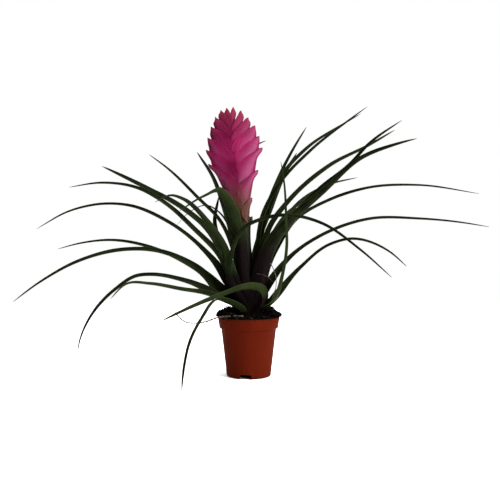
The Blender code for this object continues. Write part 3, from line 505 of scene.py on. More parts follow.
def leaf_skin(name, dark, light, foot, sheen):
    """Living bromeliad leaf: a tough matt-waxy skin with fine lengthwise nerves, purple-brown
    where it clasps the stem and dull green above, a little dry at the tip."""
    made, tree = new_material(name)
    uv = add_node(tree, "ShaderNodeUVMap", uv_map="UVMap")
    flat = add_node(tree, "ShaderNodeSeparateXYZ", {"Vector": uv.outputs[0]})
    run = add_node(tree, "ShaderNodeAttribute", attribute_name="run")
    tone = add_node(tree, "ShaderNodeAttribute", attribute_name="tone")
    place = add_node(tree, "ShaderNodeTexCoord").outputs["Object"]
    # Nerves are about 0.5 mm apart: a dozen across a blade 6 mm wide.
    across = add_node(tree, "ShaderNodeMath", {0: flat.outputs[0], 1: 13.0}, operation="MULTIPLY")
    down = add_node(tree, "ShaderNodeMath", {0: run.outputs["Fac"], 1: 1.4}, operation="MULTIPLY")
    shift = add_node(tree, "ShaderNodeMath", {0: tone.outputs["Fac"], 1: 40.0}, operation="MULTIPLY")
    strip = add_node(tree, "ShaderNodeCombineXYZ",
                     {0: across.outputs[0], 1: down.outputs[0], 2: shift.outputs[0]})
    nerve = add_node(tree, "ShaderNodeTexNoise", {"Vector": strip.outputs[0], "Scale": 1.0, "Detail": 2.0,
                                                  "Roughness": 0.6})
    patch = add_node(tree, "ShaderNodeTexNoise", {"Vector": place, "Scale": 45.0, "Detail": 3.0})
    lift = add_node(tree, "ShaderNodeMath", {0: nerve.outputs[0], 1: patch.outputs[0]}, operation="MULTIPLY")
    level = add_node(tree, "ShaderNodeMath", {0: tone.outputs["Fac"], 1: 0.16, 2: lift.outputs[0]},
                     operation="MULTIPLY_ADD")
    aged = add_node(tree, "ShaderNodeMath", {0: flat.outputs[1], 1: -0.11, 2: level.outputs[0]},
                    operation="MULTIPLY_ADD")
    green = add_node(tree, "ShaderNodeMapRange", {"Value": aged.outputs[0], 1: 0.12, 2: 0.42, 3: 0.0, 4: 1.0})
    blade = add_node(tree, "ShaderNodeMix", {0: green.outputs[0], 6: linear(dark), 7: linear(light)},
                     data_type="RGBA")
    # Each margin is a thin paler line.
    edge = add_node(tree, "ShaderNodeMath", {0: flat.outputs[0], 1: 0.5}, operation="SUBTRACT")
    side = add_node(tree, "ShaderNodeMath", {0: edge.outputs[0]}, operation="ABSOLUTE")
    rim = add_node(tree, "ShaderNodeMapRange", {"Value": side.outputs[0], 1: 0.42, 2: 0.49, 3: 0.0, 4: 0.4})
    hemmed = add_node(tree, "ShaderNodeMix", {0: rim.outputs[0], 6: blade.outputs[2], 7: linear("#343B1E")},
                      data_type="RGBA")
    # The purple of the foot fades out, further along some nerves than others.
    ragged = add_node(tree, "ShaderNodeMath", {0: nerve.outputs[0], 1: -0.5, 2: run.outputs["Fac"]},
                      operation="MULTIPLY_ADD")
    fade = add_node(tree, "ShaderNodeMapRange", {"Value": ragged.outputs[0], 1: 0.55, 2: 0.88, 3: 1.0, 4: 0.0},
                    interpolation_type="SMOOTHSTEP")
    clasped = add_node(tree, "ShaderNodeMix", {0: fade.outputs[0], 6: hemmed.outputs[2], 7: linear(foot)},
                       data_type="RGBA")
    dry = add_node(tree, "ShaderNodeMapRange", {"Value": flat.outputs[1], 1: 0.98, 2: 1.0, 3: 0.0, 4: 0.5})
    colour = add_node(tree, "ShaderNodeMix", {0: dry.outputs[0], 6: clasped.outputs[2], 7: linear("#4A3E24")},
                      data_type="RGBA")
    rough = add_node(tree, "ShaderNodeMapRange", {"Value": nerve.outputs[0], 1: 0.3, 2: 0.7, 3: 0.42, 4: 0.58})
    relief = add_node(tree, "ShaderNodeBump",
                      {"Height": nerve.outputs[0], "Strength": 0.35, "Distance": 0.2 * MM})
    surface = add_node(tree, "ShaderNodeBsdfPrincipled",
                       {"Base Color": colour.outputs[2], "Roughness": rough.outputs[0], "IOR": 1.42,
                        "Specular IOR Level": sheen, "Normal": relief.outputs[0]})
    end_material(tree, surface)
    return made


def bract_skin():
    """Bromeliad bract: a papery, faintly waxy pink with fine lengthwise veins, green-yellow at
    the foot, with a painted lilac highlight over the belly, and a thin dull red line along the
    free edges and the tip."""
    made, tree = new_material("bract_skin")
    uv = add_node(tree, "ShaderNodeUVMap", uv_map="UVMap")
    flat = add_node(tree, "ShaderNodeSeparateXYZ", {"Vector": uv.outputs[0]})
    tone = add_node(tree, "ShaderNodeAttribute", attribute_name="tone")
    height = add_node(tree, "ShaderNodeAttribute", attribute_name="height")
    place = add_node(tree, "ShaderNodeTexCoord").outputs["Object"]
    # Veins are about 0.9 mm apart over each face.
    across = add_node(tree, "ShaderNodeMath", {0: flat.outputs[0], 1: 44.0}, operation="MULTIPLY")
    down = add_node(tree, "ShaderNodeMath", {0: flat.outputs[1], 1: 1.6}, operation="MULTIPLY")
    shift = add_node(tree, "ShaderNodeMath", {0: tone.outputs["Fac"], 1: 30.0}, operation="MULTIPLY")
    strip = add_node(tree, "ShaderNodeCombineXYZ",
                     {0: across.outputs[0], 1: down.outputs[0], 2: shift.outputs[0]})
    vein = add_node(tree, "ShaderNodeTexNoise", {"Vector": strip.outputs[0], "Scale": 1.0, "Detail": 2.0})
    patch = add_node(tree, "ShaderNodeTexNoise", {"Vector": place, "Scale": 60.0, "Detail": 2.0})
    both = add_node(tree, "ShaderNodeMath", {0: vein.outputs[0], 1: patch.outputs[0]}, operation="MULTIPLY")
    # The tone shifts each bract's pink at random, and the higher tone of the bracts on the right also makes
    # them a little lighter, as painted light from the right.
    level = add_node(tree, "ShaderNodeMath", {0: tone.outputs["Fac"], 1: 0.10, 2: both.outputs[0]},
                     operation="MULTIPLY_ADD")
    pink = add_node(tree, "ShaderNodeValToRGB", {"Fac": level.outputs[0]},
                    stops=((0.16, "#520528"), (0.46, "#70153E"), (0.30, "#630E34")))
    edge = add_node(tree, "ShaderNodeMath", {0: flat.outputs[0], 1: 0.5}, operation="SUBTRACT")
    side = add_node(tree, "ShaderNodeMath", {0: edge.outputs[0]}, operation="ABSOLUTE")
    # Painted highlight: each face pales to lilac from its free edge inwards, but not at the keel,
    # and more on the bracts on the right than on those on the left, as painted light from the right.
    inner = add_node(tree, "ShaderNodeMapRange", {"Value": side.outputs[0], 1: 0.02, 2: 0.14, 3: 0.0, 4: 1.0},
                     interpolation_type="SMOOTHSTEP")
    outer = add_node(tree, "ShaderNodeMapRange", {"Value": side.outputs[0], 1: 0.16, 2: 0.42, 3: 1.0, 4: 0.0},
                     interpolation_type="SMOOTHSTEP")
    band = add_node(tree, "ShaderNodeMath", {0: inner.outputs[0], 1: outer.outputs[0]}, operation="MULTIPLY")
    # The painted highlight is strongest on the lower bracts and gone at the top.
    pale = add_node(tree, "ShaderNodeMapRange",
                    {"Value": height.outputs["Fac"], 1: 0.95, 2: 0.6, 3: 0.0, 4: 0.9})
    # The tone sets the strength of the painted highlight: the bracts on the right carry a higher tone, for
    # painted light from the right.
    rank = add_node(tree, "ShaderNodeMapRange",
                    {"Value": tone.outputs["Fac"], 1: 0.2, 2: 0.8, 3: 0.18, 4: 0.85})
    soft = add_node(tree, "ShaderNodeMath", {0: band.outputs[0], 1: pale.outputs[0]}, operation="MULTIPLY")
    painted_highlight = add_node(tree, "ShaderNodeMath", {0: soft.outputs[0], 1: rank.outputs[0]}, operation="MULTIPLY")
    lilac = add_node(tree, "ShaderNodeMix", {0: painted_highlight.outputs[0], 6: pink.outputs[0], 7: linear("#7C3859")},
                     data_type="RGBA")
    rim = add_node(tree, "ShaderNodeMapRange", {"Value": side.outputs[0], 1: 0.475, 2: 0.5, 3: 0.0, 4: 0.2})
    fold = add_node(tree, "ShaderNodeMapRange", {"Value": side.outputs[0], 1: 0.0, 2: 0.03, 3: 0.6, 4: 0.0})
    tip = add_node(tree, "ShaderNodeMapRange", {"Value": flat.outputs[1], 1: 0.86, 2: 0.98, 3: 0.0, 4: 0.9})
    lines = add_node(tree, "ShaderNodeMath", {0: rim.outputs[0], 1: fold.outputs[0]}, operation="MAXIMUM")
    worn = add_node(tree, "ShaderNodeMath", {0: lines.outputs[0], 1: tip.outputs[0]}, operation="MAXIMUM")
    lined = add_node(tree, "ShaderNodeMix", {0: worn.outputs[0], 6: lilac.outputs[2], 7: linear("#48101C")},
                     data_type="RGBA")
    # The youngest bracts, at the top, are a duller red.
    upper = add_node(tree, "ShaderNodeMapRange",
                     {"Value": height.outputs["Fac"], 1: 0.72, 2: 1.0, 3: 0.0, 4: 0.6})
    ripe = add_node(tree, "ShaderNodeMix", {0: upper.outputs[0], 6: lined.outputs[2], 7: linear("#62222E")},
                    data_type="RGBA")
    # The foot of the spike turns a greenish straw colour over its lowest 50 mm.
    young = add_node(tree, "ShaderNodeMapRange",
                     {"Value": height.outputs["Fac"], 1: 0.02, 2: 0.4, 3: 0.85, 4: 0.0},
                     interpolation_type="SMOOTHSTEP")
    colour = add_node(tree, "ShaderNodeMix", {0: young.outputs[0], 6: ripe.outputs[2], 7: linear("#3B2E1B")},
                      data_type="RGBA")
    relief = add_node(tree, "ShaderNodeBump",
                      {"Height": vein.outputs[0], "Strength": 0.45, "Distance": 0.25 * MM})
    surface = add_node(tree, "ShaderNodeBsdfPrincipled",
                       {"Base Color": colour.outputs[2], "Roughness": 0.5, "IOR": 1.42,
                        "Specular IOR Level": 0.06, "Subsurface Weight": 0.12, "Subsurface Scale": 1.5 * MM,
                        "Normal": relief.outputs[0]})
    end_material(tree, surface)
    return made


def fibrous_skin(name, dark, light, roughness):
    """A stalk or a dead strand: lengthwise fibres in two shades of one colour."""
    made, tree = new_material(name)
    place = add_node(tree, "ShaderNodeTexCoord").outputs["Object"]
    # Fibres are about 0.5 mm wide and run for several millimetres.
    long = add_node(tree, "ShaderNodeMapping", {"Vector": place, "Scale": (900.0, 900.0, 120.0)})
    fibre = add_node(tree, "ShaderNodeTexNoise", {"Vector": long.outputs[0], "Scale": 1.0, "Detail": 3.0})
    blotch = add_node(tree, "ShaderNodeTexNoise", {"Vector": place, "Scale": 160.0, "Detail": 2.0})
    both = add_node(tree, "ShaderNodeMath", {0: fibre.outputs[0], 1: blotch.outputs[0]}, operation="MULTIPLY")
    colour = add_node(tree, "ShaderNodeValToRGB", {"Fac": both.outputs[0]}, stops=((0.14, dark), (0.38, light)))
    relief = add_node(tree, "ShaderNodeBump",
                      {"Height": fibre.outputs[0], "Strength": 0.4, "Distance": 0.2 * MM})
    surface = add_node(tree, "ShaderNodeBsdfPrincipled",
                       {"Base Color": colour.outputs[0], "Roughness": roughness, "IOR": 1.42,
                        "Specular IOR Level": 0.12, "Normal": relief.outputs[0]})
    end_material(tree, surface)
    return made


def stalk_skin():
    """Flower stalk in its clasping sheaths: lengthwise fibres, purple at the foot, green above
    and a pinkish straw colour where the spike begins."""
    made, tree = new_material("stalk_skin")
    place = add_node(tree, "ShaderNodeTexCoord").outputs["Object"]
    parts = add_node(tree, "ShaderNodeSeparateXYZ", {"Vector": place})
    long = add_node(tree, "ShaderNodeMapping", {"Vector": place, "Scale": (700.0, 700.0, 60.0)})
    fibre = add_node(tree, "ShaderNodeTexNoise", {"Vector": long.outputs[0], "Scale": 1.0, "Detail": 3.0})
    ragged = add_node(tree, "ShaderNodeMath", {0: fibre.outputs[0], 1: 24 * MM, 2: parts.outputs[2]},
                      operation="MULTIPLY_ADD")
    level = add_node(tree, "ShaderNodeMapRange", {"Value": ragged.outputs[0], 1: 0.13, 2: 0.21, 3: 0.0, 4: 1.0})
    colour = add_node(tree, "ShaderNodeValToRGB", {"Fac": level.outputs[0]},
                      stops=((0.2, "#060404"), (0.86, "#54382C"), (0.40, "#11150A"), (0.62, "#1B2110")))
    shade = add_node(tree, "ShaderNodeMix", {0: fibre.outputs[0], 6: colour.outputs[0], 7: linear("#100B08")},
                     data_type="RGBA", blend_type="MULTIPLY")
    tint = add_node(tree, "ShaderNodeMix", {0: 0.35, 6: colour.outputs[0], 7: shade.outputs[2]},
                    data_type="RGBA")
    relief = add_node(tree, "ShaderNodeBump",
                      {"Height": fibre.outputs[0], "Strength": 0.4, "Distance": 0.2 * MM})
    surface = add_node(tree, "ShaderNodeBsdfPrincipled",
                       {"Base Color": tint.outputs[2], "Roughness": 0.5, "IOR": 1.42,
                        "Specular IOR Level": 0.05, "Normal": relief.outputs[0]})
    end_material(tree, surface)
    return made


# ------------------------------------------------------------------------------ pot
def corner(centre_radius, centre_z, size, start, end, steps):
    """Points of a round corner, in degrees from the outward direction."""
    angles = [math.radians(start + (end - start) * i / steps) for i in range(steps + 1)]
    return [(centre_radius + size * math.cos(a), centre_z + size * math.sin(a)) for a in angles]


def turned_shell(name, profile, segments):
    """Extrude a circle ring by ring along a profile of radii and heights, and close both ends."""
    deselect_all()
    radius, height = profile[0]
    bpy.ops.mesh.primitive_circle_add(vertices=segments, radius=radius, fill_type="NGON",
                                      location=(0.0, 0.0, height))
    made = take_added(name)
    bpy.ops.object.transform_apply(location=True, rotation=False, scale=False)
    bpy.ops.object.mode_set(mode="EDIT")
    bpy.ops.mesh.select_all(action="SELECT")
    for next_radius, next_height in profile[1:]:
        bpy.ops.mesh.extrude_region_move(
            TRANSFORM_OT_translate={"value": (0.0, 0.0, next_height - height)})
        scale = next_radius / radius
        bpy.ops.transform.resize(value=(scale, scale, 1.0), center_override=(0.0, 0.0, 0.0))
        radius, height = next_radius, next_height
    bpy.ops.object.mode_set(mode="OBJECT")
    merge_doubles(made)
    return made


def cut_away(target, tool):
    apply_modifier(target, "BOOLEAN", operation="DIFFERENCE", solver="EXACT", object=tool)
    bpy.data.objects.remove(tool, do_unlink=True)


class BROMELIAD_OT_pot(bpy.types.Operator):
    """Add the moulded nursery pot with its foot notches and drain holes"""

    bl_idname = "bromeliad.pot"
    bl_label = "Nursery Pot"

    def execute(self, context):
        sizes = context.scene.bromeliad_pot
        rim, top = POT_HIGH.x, POT_HIGH.z
        collar = rim - sizes.collar_draft
        wall_top = collar - sizes.collar_step
        foot = wall_top - sizes.wall_taper
        collar_z = top - sizes.collar_height
        foot_outer = foot - sizes.foot_round
        foot_inner = foot_outer - sizes.foot_flat
        lip = sizes.wall / 2
        edge = 0.45 * MM
        profile = [(1.2 * MM, sizes.floor_lift - 0.5 * MM), (2.0 * MM, sizes.floor_lift),
                   (foot_inner - 1.6 * MM, sizes.floor_lift),
                   (foot_inner - 0.9 * MM, sizes.floor_lift - 0.4 * MM), (foot_inner, 0.3 * MM),
                   (foot_inner + 0.3 * MM, 0.0)]
        profile += corner(foot_outer, sizes.foot_round, sizes.foot_round, -90, 0, 7)
        profile += [(foot + (wall_top - foot) * share, sizes.foot_round + (collar_z - sizes.foot_round) * share)
                    for share in (0.25, 0.5, 0.75)]
        profile += [(wall_top - 0.05 * MM, collar_z - edge), (wall_top + 0.15 * MM, collar_z - 0.1 * MM),
                    (wall_top + edge, collar_z)]
        profile += corner(collar - edge, collar_z + 0.4 * MM + edge, edge, -90, 0, 4)
        profile += [(collar + sizes.collar_draft * 0.5, collar_z + sizes.collar_height * 0.5)]
        profile += corner(rim - lip - 0.1 * MM, top - lip - 0.1 * MM, lip + 0.1 * MM, 0, 180, 10)
        profile += [(collar - sizes.wall, collar_z + 0.4 * MM + sizes.wall),
                    (wall_top - sizes.wall, collar_z + sizes.wall),
                    (foot - sizes.wall + 0.3 * MM, sizes.floor_lift + sizes.wall),
                    (2.0 * MM, sizes.floor_lift + sizes.wall)]
        pot = turned_shell("nursery_pot", profile, sizes.segments)
        for azimuth in (262.0, 22.0, 142.0):
            self.cut_notch(pot, foot, azimuth)
        for azimuth in (82.0, 202.0, 322.0):
            turn = math.radians(azimuth)
            deselect_all()
            bpy.ops.mesh.primitive_cylinder_add(
                vertices=32, radius=2.4 * MM, depth=6.0 * MM,
                location=(0.48 * foot * math.cos(turn), 0.48 * foot * math.sin(turn), sizes.floor_lift))
            cut_away(pot, take_added("drain_tool"))
        pot.data.materials.append(moulded_polypropylene(sizes))
        finish_piece(pot, "pot_plastic", "pot", angle=35.0)
        return {"FINISHED"}

    def cut_notch(self, pot, foot, azimuth):
        """A gap in the foot, wider at the ground than at its top, with rounded upper corners."""
        deselect_all()
        bpy.ops.mesh.primitive_cube_add(size=1.0)
        tool = take_added("notch_tool")
        for vertex in tool.data.vertices:
            upper = vertex.co.z > 0.0
            across = (5.6 if upper else 8.4) * MM
            vertex.co = Vector((foot + (3.0 if vertex.co.x > 0.0 else -9.0) * MM,
                                across if vertex.co.y > 0.0 else -across, 5.0 * MM if upper else -2.0 * MM))
        apply_modifier(tool, "BEVEL", width=0.8 * MM, segments=4, limit_method="NONE")
        tool.data.transform(Matrix.Rotation(math.radians(azimuth), 4, "Z"))
        cut_away(pot, tool)


# ----------------------------------------------------------------------------- soil
def soil_height(x, y, seat, lip, sizes):
    """The peat's surface above the crown's level: a heap round the crown, level in front."""
    radius = math.hypot(x, y)
    share = min(max((radius - seat) / (lip - seat), 0.0), 1.0)
    azimuth = math.degrees(math.atan2(y, x))
    from_front = abs((azimuth + 270.0) % 360.0 - 180.0)
    heap = sizes.front_heap + (sizes.heap - sizes.front_heap) * ease((from_front - 30.0) / 65.0)
    shape = ease(share / 0.4) * (1.0 - 0.75 * ease((share - 0.72) / 0.28))
    coarse = noise.noise(Vector((x, y, 0.3)) * 170.0) * 1.1 * MM
    fine = noise.noise(Vector((x, y, 0.7)) * 520.0) * 0.5 * MM
    return heap * shape + (coarse + fine) * (0.25 + 0.75 * share) - 1.2 * MM * ease((share - 0.93) / 0.07)


def crumb_model(name, seed, squeeze):
    """One lump of peat, pushed out of round."""
    deselect_all()
    bpy.ops.mesh.primitive_uv_sphere_add(segments=7, ring_count=5, radius=1.0)
    made = take_added(name)
    for vertex in made.data.vertices:
        push = 1.0 + 0.55 * noise.noise(vertex.co * 1.3 + Vector((seed * 7.1, seed * 3.7, seed)))
        vertex.co = Vector((vertex.co.x * push, vertex.co.y * push * squeeze[0],
                            vertex.co.z * push * squeeze[1]))
    return made


def scatter(name, models, places, material):
    """Copies of the models, each with its own mesh, put in place and joined into one piece."""
    copies = []
    for index, matrix in places:
        model = models[index % len(models)]
        made = bpy.data.objects.new(name, model.data.copy())
        made.data.transform(matrix)
        bpy.context.scene.collection.objects.link(made)
        copies.append(made)
    for model in models:
        bpy.data.objects.remove(model, do_unlink=True)
    deselect_all()
    for made in copies:
        made.select_set(True)
    bpy.context.view_layer.objects.active = copies[0]
    bpy.ops.object.join()
    joined = take_added(name)
    joined.data.materials.clear()
    joined.data.materials.append(material)
    return joined


class BROMELIAD_OT_soil(bpy.types.Operator):
    """Add the peat in the pot, with loose crumbs and fibres on it"""

    bl_idname = "bromeliad.soil"
    bl_label = "Potting Soil"

    def execute(self, context):
        sizes = context.scene.bromeliad_soil
        lip = POT_HIGH.x - 1.5 * MM
        seat = 14.0 * MM
        steps = 84

        def surface(across, row):
            """A square grid drawn out to a disc, with the peat's height."""
            down = row / steps * 2.0 - 1.0
            reach = max(abs(across), abs(down))
            if reach == 0.0:
                return Vector((0.0, 0.0, CROWN_Z - 1.0 * MM))
            if abs(across) >= abs(down):
                turn = math.pi / 4 * down / across + (math.pi if across < 0.0 else 0.0)
            else:
                turn = math.pi / 2 - math.pi / 4 * across / down + (math.pi if down < 0.0 else 0.0)
            x, y = reach * lip * math.cos(turn), reach * lip * math.sin(turn)
            return Vector((x, y, CROWN_Z - 1.0 * MM + soil_height(x, y, seat, lip, sizes)))

        bed = shaped_grid("peat_bed", steps, steps, surface)
        apply_modifier(bed, "SOLIDIFY", thickness=5.0 * MM, offset=-1.0)
        peat = damp_peat("damp_peat", "#020101", "#0E0807", 620.0)
        bed.data.materials.append(peat)
        finish_piece(bed, "peat", "potting_soil", angle=60.0)
        chance = random.Random(11)
        self.add_crumbs(sizes, chance, seat, lip, peat)
        self.add_fibres(sizes, chance, seat, lip)
        return {"FINISHED"}

    def add_crumbs(self, sizes, chance, seat, lip, peat):
        models = [crumb_model(f"crumb_{i}", i + 1, squeeze)
                  for i, squeeze in enumerate(((0.8, 0.7), (0.65, 0.55), (1.0, 0.8), (0.5, 0.9), (0.75, 0.4)))]
        places = []
        for i in range(sizes.crumbs):
            share = math.sqrt(chance.random())
            radius = seat * 0.8 + (lip - 1.6 * MM - seat * 0.8) * share
            azimuth = chance.uniform(0.0, 2.0 * math.pi)
            size = sizes.crumb_size * chance.choice((0.45, 0.6, 0.6, 0.8, 0.8, 1.0, 1.3, 1.7))
            x, y = radius * math.cos(azimuth), radius * math.sin(azimuth)
            z = CROWN_Z - 1.0 * MM + soil_height(x, y, seat, lip, sizes) + 0.35 * size
            places.append((i, self.placed(Vector((x, y, z)), size, chance)))
        for i in range(150):                     # heaped on the lip at both sides
            left = i % 2 == 0
            azimuth = math.radians((184.0 if left else 2.0) + chance.gauss(0.0, 20.0))
            radius = lip + chance.uniform(-4.5, 2.4) * MM
            size = sizes.crumb_size * chance.choice((0.8, 1.0, 1.3, 1.7, 2.1))
            rise = chance.uniform(0.0, 5.5 if left else 4.0) * MM * ease((lip + 3.4 * MM - radius) / (4.0 * MM))
            place = Vector((radius * math.cos(azimuth), radius * math.sin(azimuth),
                            POT_HIGH.z + 0.6 * size + rise))
            places.append((i, self.placed(place, size, chance)))
        for i in range(60):                      # a steeper heap of lumps at the right
            azimuth = math.radians(8.0 + chance.gauss(0.0, 26.0))
            radius = lip - chance.uniform(1.0, 15.0) * MM
            size = sizes.crumb_size * chance.choice((1.0, 1.4, 1.9, 2.3))
            rise = (2.0 + 8.5 * ease((lip - radius) / (9.0 * MM)) * chance.uniform(0.5, 1.0)) * MM
            place = Vector((radius * math.cos(azimuth), radius * math.sin(azimuth), POT_HIGH.z + rise))
            places.append((i, self.placed(place, size, chance)))
        crumbs = scatter("peat_crumbs", models, places, peat)
        finish_piece(crumbs, "peat", angle=80.0)

    def placed(self, place, size, chance):
        turn = Matrix.Rotation(chance.uniform(0.0, 6.3), 4, (chance.random(), chance.random(), 0.3))
        return Matrix.Translation(place) @ turn @ Matrix.Scale(size, 4)

    def add_fibres(self, sizes, chance, seat, lip):
        models = []
        for i, bend in enumerate((0.25, 0.5, -0.35)):
            route = [Vector((t * 2.0 - 1.0, bend * (1.0 - (t * 2.0 - 1.0)**2), 0.12 * math.sin(5.0 * t + i)))
                     for t in (0.0, 0.2, 0.4, 0.6, 0.8, 1.0)]
            models.append(tube_piece(f"fibre_{i}", route, [0.05, 0.06, 0.06, 0.055, 0.05, 0.03], 4))
        places = []
        for i in range(sizes.fibres):
            radius = chance.uniform(seat * 1.1, lip + 0.5 * MM)
            azimuth = chance.uniform(0.0, 2.0 * math.pi)
            x, y = radius * math.cos(azimuth), radius * math.sin(azimuth)
            z = CROWN_Z + soil_height(x, y, seat, lip, sizes) + 1.0 * MM
            turn = (Matrix.Rotation(chance.uniform(0.0, 6.3), 4, "Z")
                    @ Matrix.Rotation(chance.uniform(-0.5, 0.5), 4, "Y"))
            size = chance.uniform(2.5, 5.0) * MM
            places.append((i, Matrix.Translation(Vector((x, y, z))) @ turn @ Matrix.Scale(size, 4)))
        fibres = scatter("peat_fibres", models, places, fibrous_skin("coir_fibre", "#1A100A", "#4A3626", 0.9))
        finish_piece(fibres, "peat", angle=80.0)


# --------------------------------------------------------------------------- leaves
def rolled(side, up, angle):
    """A leaf section's side and upper face, with the face leant towards the front."""
    turn = -angle if side.y > 0.0 else angle
    return side * math.cos(turn) - up * math.sin(turn), up * math.cos(turn) + side * math.sin(turn)


class BROMELIAD_OT_leaves(bpy.types.Operator):
    """Add the rosette: each leaf is a strap that clasps the stem and opens into a channelled blade"""

    bl_idname = "bromeliad.leaves"
    bl_label = "Leaves"

    def execute(self, context):
        sizes = context.scene.bromeliad_leaves
        under = leaf_skin("leaf_underside", "#060904", "#19200E", "#0A0505", 0.015)
        upper = leaf_skin("leaf_upper_side", "#070A04", "#1B230E", "#0B0606", 0.02)
        for i, (name, row) in enumerate(LEAVES.items()):
            blade = self.leaf(name, i, row, sizes)
            blade.data.materials.append(under)
            blade.data.materials.append(upper)
            apply_modifier(blade, "SOLIDIFY", thickness=sizes.thickness, offset=1.0, material_offset=1,
                           vertex_group="thickness", thickness_vertex_group=0.15)
            finish_piece(blade, "leaf", name, angle=50.0)
        return {"FINISHED"}

    def leaf(self, name, index, row, sizes):
        """The strap's outer surface, row by row from the crown to the tip."""
        layer, azimuth, width, sheath, hold, narrow, lean, flush, points = row
        width, sheath, hold, narrow, flush = (n * MM for n in (width, sheath, hold, narrow, flush))
        rows, columns = 72, 12
        turn = math.radians(azimuth)
        outward = Vector((math.cos(turn), math.sin(turn), 0.0))
        radius = (2.6 + 0.3) * MM + sizes.thickness + layer * (sizes.thickness + sizes.layer_gap)
        foot = Vector((0.0, 0.0, CROWN_Z)) + outward * radius
        route = smooth_route([foot, foot + Vector((0.0, 0.0, 3.0 * MM)), *[crown_point(p) for p in points]])
        length = route_length(route)
        distances = [length * (0.62 * t + 0.38 * t * t) for t in (i / rows for i in range(rows + 1))]
        spine = at_distances(route, distances)
        stations = []
        for distance, point, (side, up) in zip(distances, spine, frames_along(spine, -outward)):
            along = max(distance - 60.0 * MM, 0.0) / max(length - 60.0 * MM, MM)
            closing = max(1.0 - along**6, 0.0) ** 0.5
            blade_half = width / 2 * (1.5 - 0.7 * along) * closing
            sheathing = (1.0 - ease((distance - hold) / (narrow - hold))) ** 1.15
            least = (0.30 + 0.40 * (1.0 - along**12)) * MM
            half = max(blade_half + (sheath / 2 - blade_half) * sheathing, least)
            clasp = math.hypot(point.x, point.y)
            opening = ease(distance / (75.0 * MM) - 0.1)
            bend = 1.0 / ((1.0 - opening) / clasp + opening / (1.25 * half))
            leaning = ease(distance / (42.0 * MM) - 0.12)
            waver = math.radians(7.0) * noise.noise(Vector((index * 5.3, distance * 28.0, 0.5))) * leaning
            side, up = rolled(side, up, math.radians(lean) * abs(side.y) * leaning + waver)
            stations.append((point, side, up, half, bend, leaning))

        def surface(across, row):
            point, side, up, half, bend, leaning = stations[row]
            arc = half * across / bend
            fold = 0.16 * half * abs(across) * leaning
            ripple = 0.05 * half * noise.noise(Vector((index * 3.1 + across, row * 0.35, across * 2.0)))
            return point + side * bend * math.sin(arc) + up * (bend * (1.0 - math.cos(arc)) + fold + ripple)

        made = shaped_grid(f"{name}_blade", columns, rows, surface)
        count = columns + 1
        add_attribute(made, "run", [distances[i // count] / flush for i in range(count * (rows + 1))])
        tone = random.Random(index * 17 + 3).random()
        add_attribute(made, "tone", [tone] * (count * (rows + 1)))
        weight_group(made, "thickness", [1.0 - 0.75 * distances[i // count] / length
                                         for i in range(count * (rows + 1))])
        return made


# ------------------------------------------------------------------- stalk and spike
def midline(along):
    """A point of the spike's midline, in millimetres above the crown."""
    x, y, height = SPIKE_BASE
    return Vector((x - 0.21 * along + 0.00075 * along**2, y, height + along))


def spike_outline(side, share, sizes):
    """From the midline to the tips' outline on one side of the spike, in millimetres."""
    tips = ((-0.1, 0.12), *(RIGHT_BRACT_TIPS if side > 0.0 else LEFT_BRACT_TIPS))
    for (low, start), (high, end) in zip(tips, tips[1:]):
        if share <= high:
            return sizes.half_width / MM * (start + (end - start) * max(share - low, 0.0) / (high - low))
    return sizes.half_width / MM * tips[-1][1]


class BROMELIAD_OT_stalk(bpy.types.Operator):
    """Add the flower stalk with the papery sheaths that clothe it"""

    bl_idname = "bromeliad.stalk"
    bl_label = "Flower Stalk"

    def execute(self, context):
        points = [Vector((0, 0, 10.4)), Vector((0, 0, 22)), Vector((-2.6, 0, 62)), midline(0.0)]
        points += [midline(share * 83.0) for share in (0.25, 0.5, 0.75, 1.0)]
        route = smooth_route(points, 14)
        radii = [self.girth(point.z) * MM for point in route]
        stalk = tube_piece("stalk_sheaths", [crown_point(p) for p in route], radii, 20)
        stalk.data.materials.append(stalk_skin())
        finish_piece(stalk, "stalk", "flower_stalk", angle=50.0)
        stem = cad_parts["stem"]
        stem.data.materials.clear()
        stem.data.materials.append(fibrous_skin("stem_skin", "#1A1A10", "#3E3A26", 0.6))
        return {"FINISHED"}

    def girth(self, height):
        """The stalk's radius with its sheaths, in millimetres, at a height above the crown."""
        steps = ((10.4, 2.4), (34.0, 4.6), (58.0, 6.6), (74.0, 6.0), (90.0, 4.7), (102.0, 3.6), (116.0, 3.2),
                 (134.0, 1.4), (200.0, 1.0))
        for (low, start), (high, end) in zip(steps, steps[1:]):
            if height <= high:
                return start + (end - start) * ease((height - low) / (high - low))
        return steps[-1][1]


